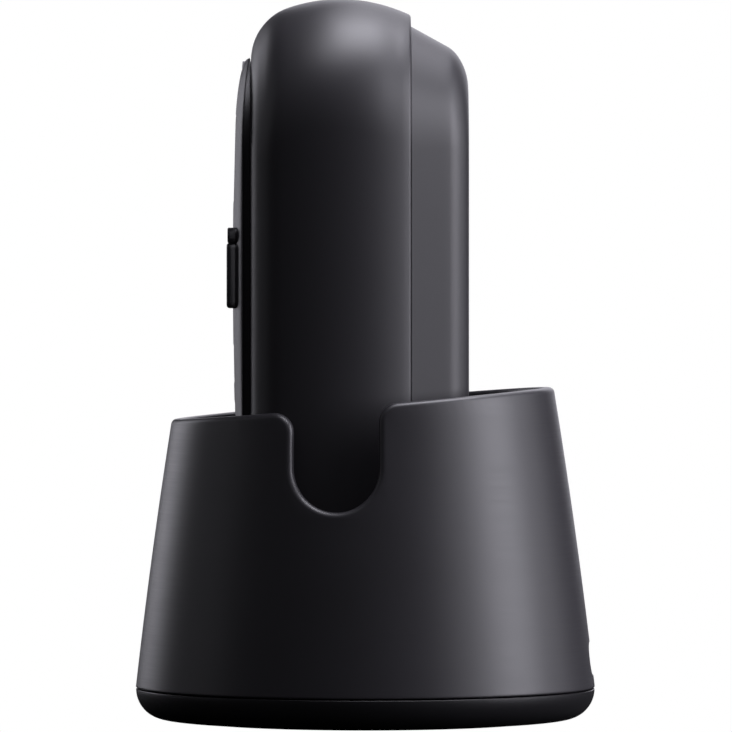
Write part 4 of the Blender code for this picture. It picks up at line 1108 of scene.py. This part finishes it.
def build_keys():
    for name, text in DIGIT_KEYS.items():
        p = middle(name)
        make_piece(keycap(name), f"keycap_{name[4:]}", key_silicone, name, "key_silicone", name)
        ink = settle_ink(lettering(text, INK_HEIGHT), p.x, p.z, lambda x, z, key=name: on_key(x, z, key))
        make_piece(ink, f"print_{name[4:]}", key_ink, name, "key_silicone")
    for name, slot, material, turn in (("talk_key", "talk_silicone", talk_silicone, 0.0),
                                       ("end_key", "end_silicone", end_silicone, 180.0)):
        p = middle(name)
        make_piece(keycap(name), f"keycap_{name[:-4]}", material, name, slot, name)
        ink = settle_ink(handset_mark(turn), p.x, p.z, lambda x, z, key=name: on_key(x, z, key))
        make_piece(ink, f"print_{name[:-4]}", key_ink, name, slot)
    make_piece(softkey_bar(), "softkeys", nav_abs, "softkey_bar", "nav_plastic", "softkey_bar")
    make_piece(nav_rocker(), "rocker", nav_abs, "nav_rocker", "nav_plastic", "nav_rocker")
    make_piece(ok_key(), "keycap_ok", ok_silicone, "ok_key", "ok_silicone", "ok_key")
    p = middle("softkey_bar")
    dashes = together(prism(rounded(side * 6.2, p.z, 1.5, 0.16, 0.15, 4), RIDGE_FRONT - INK_THICK / 2,
                            RIDGE_FRONT + INK_THICK / 2, "Y") for side in (1, -1))
    make_piece(dashes, "print_softkeys", key_ink, "softkey_bar", "nav_plastic")
    p = middle("nav_rocker")
    arrows = []
    for side in (1, -1):
        z = p.z + side * 3.05
        arrow = [(-0.65, z - side * 0.3), (0.65, z - side * 0.3), (0.0, z + side * 0.35)]
        arrows.append(prism(arrow, PANEL_FRONT - INK_THICK / 2, PANEL_FRONT + INK_THICK / 2, "Y"))
    make_piece(together(arrows), "print_rocker", key_ink, "nav_rocker", "nav_plastic")


def dress_inner_nodes():
    """The pieces shut inside keep their CAD shapes and get their real finishes."""
    # contact_block and inner_chassis share the cup insert's finish, whose near-black colour is painted shade.
    finishes = {"ballast_plate": ballast_steel, "charger_pcb": board_laminate, "contact_block": cradle_abs,
                "display_module": display_film, "earpiece_speaker": drawn_aluminium,
                "keypad_mat": mat_silicone, "main_pcb": board_laminate, "inner_chassis": cradle_abs,
                "microphone": drawn_aluminium, "ringer_speaker": drawn_aluminium, "antenna": gold_plate,
                "battery_cell_left": cell_sleeve, "battery_cell_right": cell_sleeve,
                "battery_terminal_top": zinc_steel, "battery_terminal_bottom": zinc_steel}
    for name, material in finishes.items():
        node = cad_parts[name]
        node.data.materials.clear()
        node.data.materials.append(material)


# ---------------------------------------------------------------- studio

def softbox(name, azimuth, elevation, distance, width, height, power, aim=(0.0, 0.0, 0.055)):
    """Area light; azimuth 90 is +X, where the camera stands, and 180 is +Y."""
    a, e = math.radians(azimuth), math.radians(elevation)
    back = Vector((math.sin(a) * math.cos(e), -math.cos(a) * math.cos(e), math.sin(e)))
    lamp = bpy.data.lights.new(name, "AREA")
    lamp.shape = "RECTANGLE"
    lamp.size, lamp.size_y = width, height
    lamp.energy = power
    lamp.color = (1.0, 0.985, 1.08)     # a trace of violet, as the greys have
    light = bpy.data.objects.new(name, lamp)
    light.location = Vector(aim) + back * distance
    light.rotation_euler = back.to_track_quat("Z", "Y").to_euler()
    bpy.context.scene.collection.objects.link(light)


def build_studio():
    """White ground that the camera sees evenly lit, and that throws little light back."""
    def backdrop(tree, white, rest):
        """Camera rays see white, and the rest of the light sees a darker tone."""
        seen = tree.nodes.new("ShaderNodeLightPath").outputs["Is Camera Ray"]
        mix = tree.nodes.new("ShaderNodeMixShader")
        tree.links.new(seen, mix.inputs[0])
        tree.links.new(rest.outputs[0], mix.inputs[1])
        tree.links.new(white.outputs[0], mix.inputs[2])
        return mix

    floor_material = bpy.data.materials.new("white_paper_sweep")
    floor_material.use_nodes = True
    tree = floor_material.node_tree
    output = tree.nodes["Material Output"]
    paper = tree.nodes["Principled BSDF"]
    paper.inputs["Base Color"].default_value = (0.02, 0.02, 0.02, 1.0)
    paper.inputs["Roughness"].default_value = 1.0
    paper.inputs["Specular IOR Level"].default_value = 0.0
    glow = tree.nodes.new("ShaderNodeEmission")
    tree.links.new(backdrop(tree, glow, paper).outputs[0], output.inputs["Surface"])
    bm = bmesh.new()
    bmesh.ops.create_grid(bm, x_segments=1, y_segments=1, size=6.0)
    mesh = bpy.data.meshes.new("floor")
    bm.to_mesh(mesh)
    bm.free()
    mesh.materials.append(floor_material)
    floor = bpy.data.objects.new("floor", mesh)
    bpy.context.scene.collection.objects.link(floor)

    world = bpy.data.worlds.new("studio")
    bpy.context.scene.world = world
    world.use_nodes = True
    tree = world.node_tree
    white = tree.nodes["Background"]
    white.inputs["Color"].default_value = (1.0, 1.0, 1.0, 1.0)
    dim = tree.nodes.new("ShaderNodeBackground")
    dim.inputs["Color"].default_value = (0.046, 0.0455, 0.05, 1.0)
    tree.links.new(backdrop(tree, white, dim).outputs[0], tree.nodes["World Output"].inputs["Surface"])

    softbox("key_softbox", 171.0, 12.0, 1.0, 0.52, 1.1, 11.6)
    softbox("side_softbox", 143.0, 12.0, 1.0, 0.3, 1.1, 1.3)
    softbox("rear_softbox", 202.0, 12.0, 1.0, 0.22, 1.1, 1.2)
    softbox("top_softbox", 198.0, 72.0, 0.9, 0.5, 0.5, 6.3)
    softbox("front_top_softbox", 105.0, 76.0, 0.9, 0.4, 0.4, 1.6)
    softbox("far_softbox", 262.0, 16.0, 0.9, 0.5, 0.6, 1.4)
    softbox("far_top_softbox", 245.0, 55.0, 0.9, 0.5, 0.5, 1.5)
    softbox("front_rim_softbox", -50.0, 5.0, 1.0, 0.42, 0.7, 1.75)
    softbox("front_softbox", 0.0, 12.0, 1.0, 0.5, 1.0, 0.45)
    bpy.context.scene.view_settings.view_transform = "Standard"


def build_camera():
    """Long lens square on the narrow side, just above the middle of the phone."""
    camera = bpy.data.objects.new("camera", bpy.data.cameras.new("camera"))
    camera.data.sensor_width = 36.0
    camera.data.lens = 360.7
    camera.location = (1.10, 0.0001, 0.0651)
    aim = Vector((0.0, 0.0001, 0.0531))
    camera.rotation_euler = (camera.location - aim).to_track_quat("Z", "Y").to_euler()
    camera.data.clip_start = 0.1
    camera.data.clip_end = 20.0
    bpy.context.scene.collection.objects.link(camera)
    bpy.context.scene.camera = camera


build_base()
build_handset()
build_keys()
dress_inner_nodes()
build_studio()
build_camera()
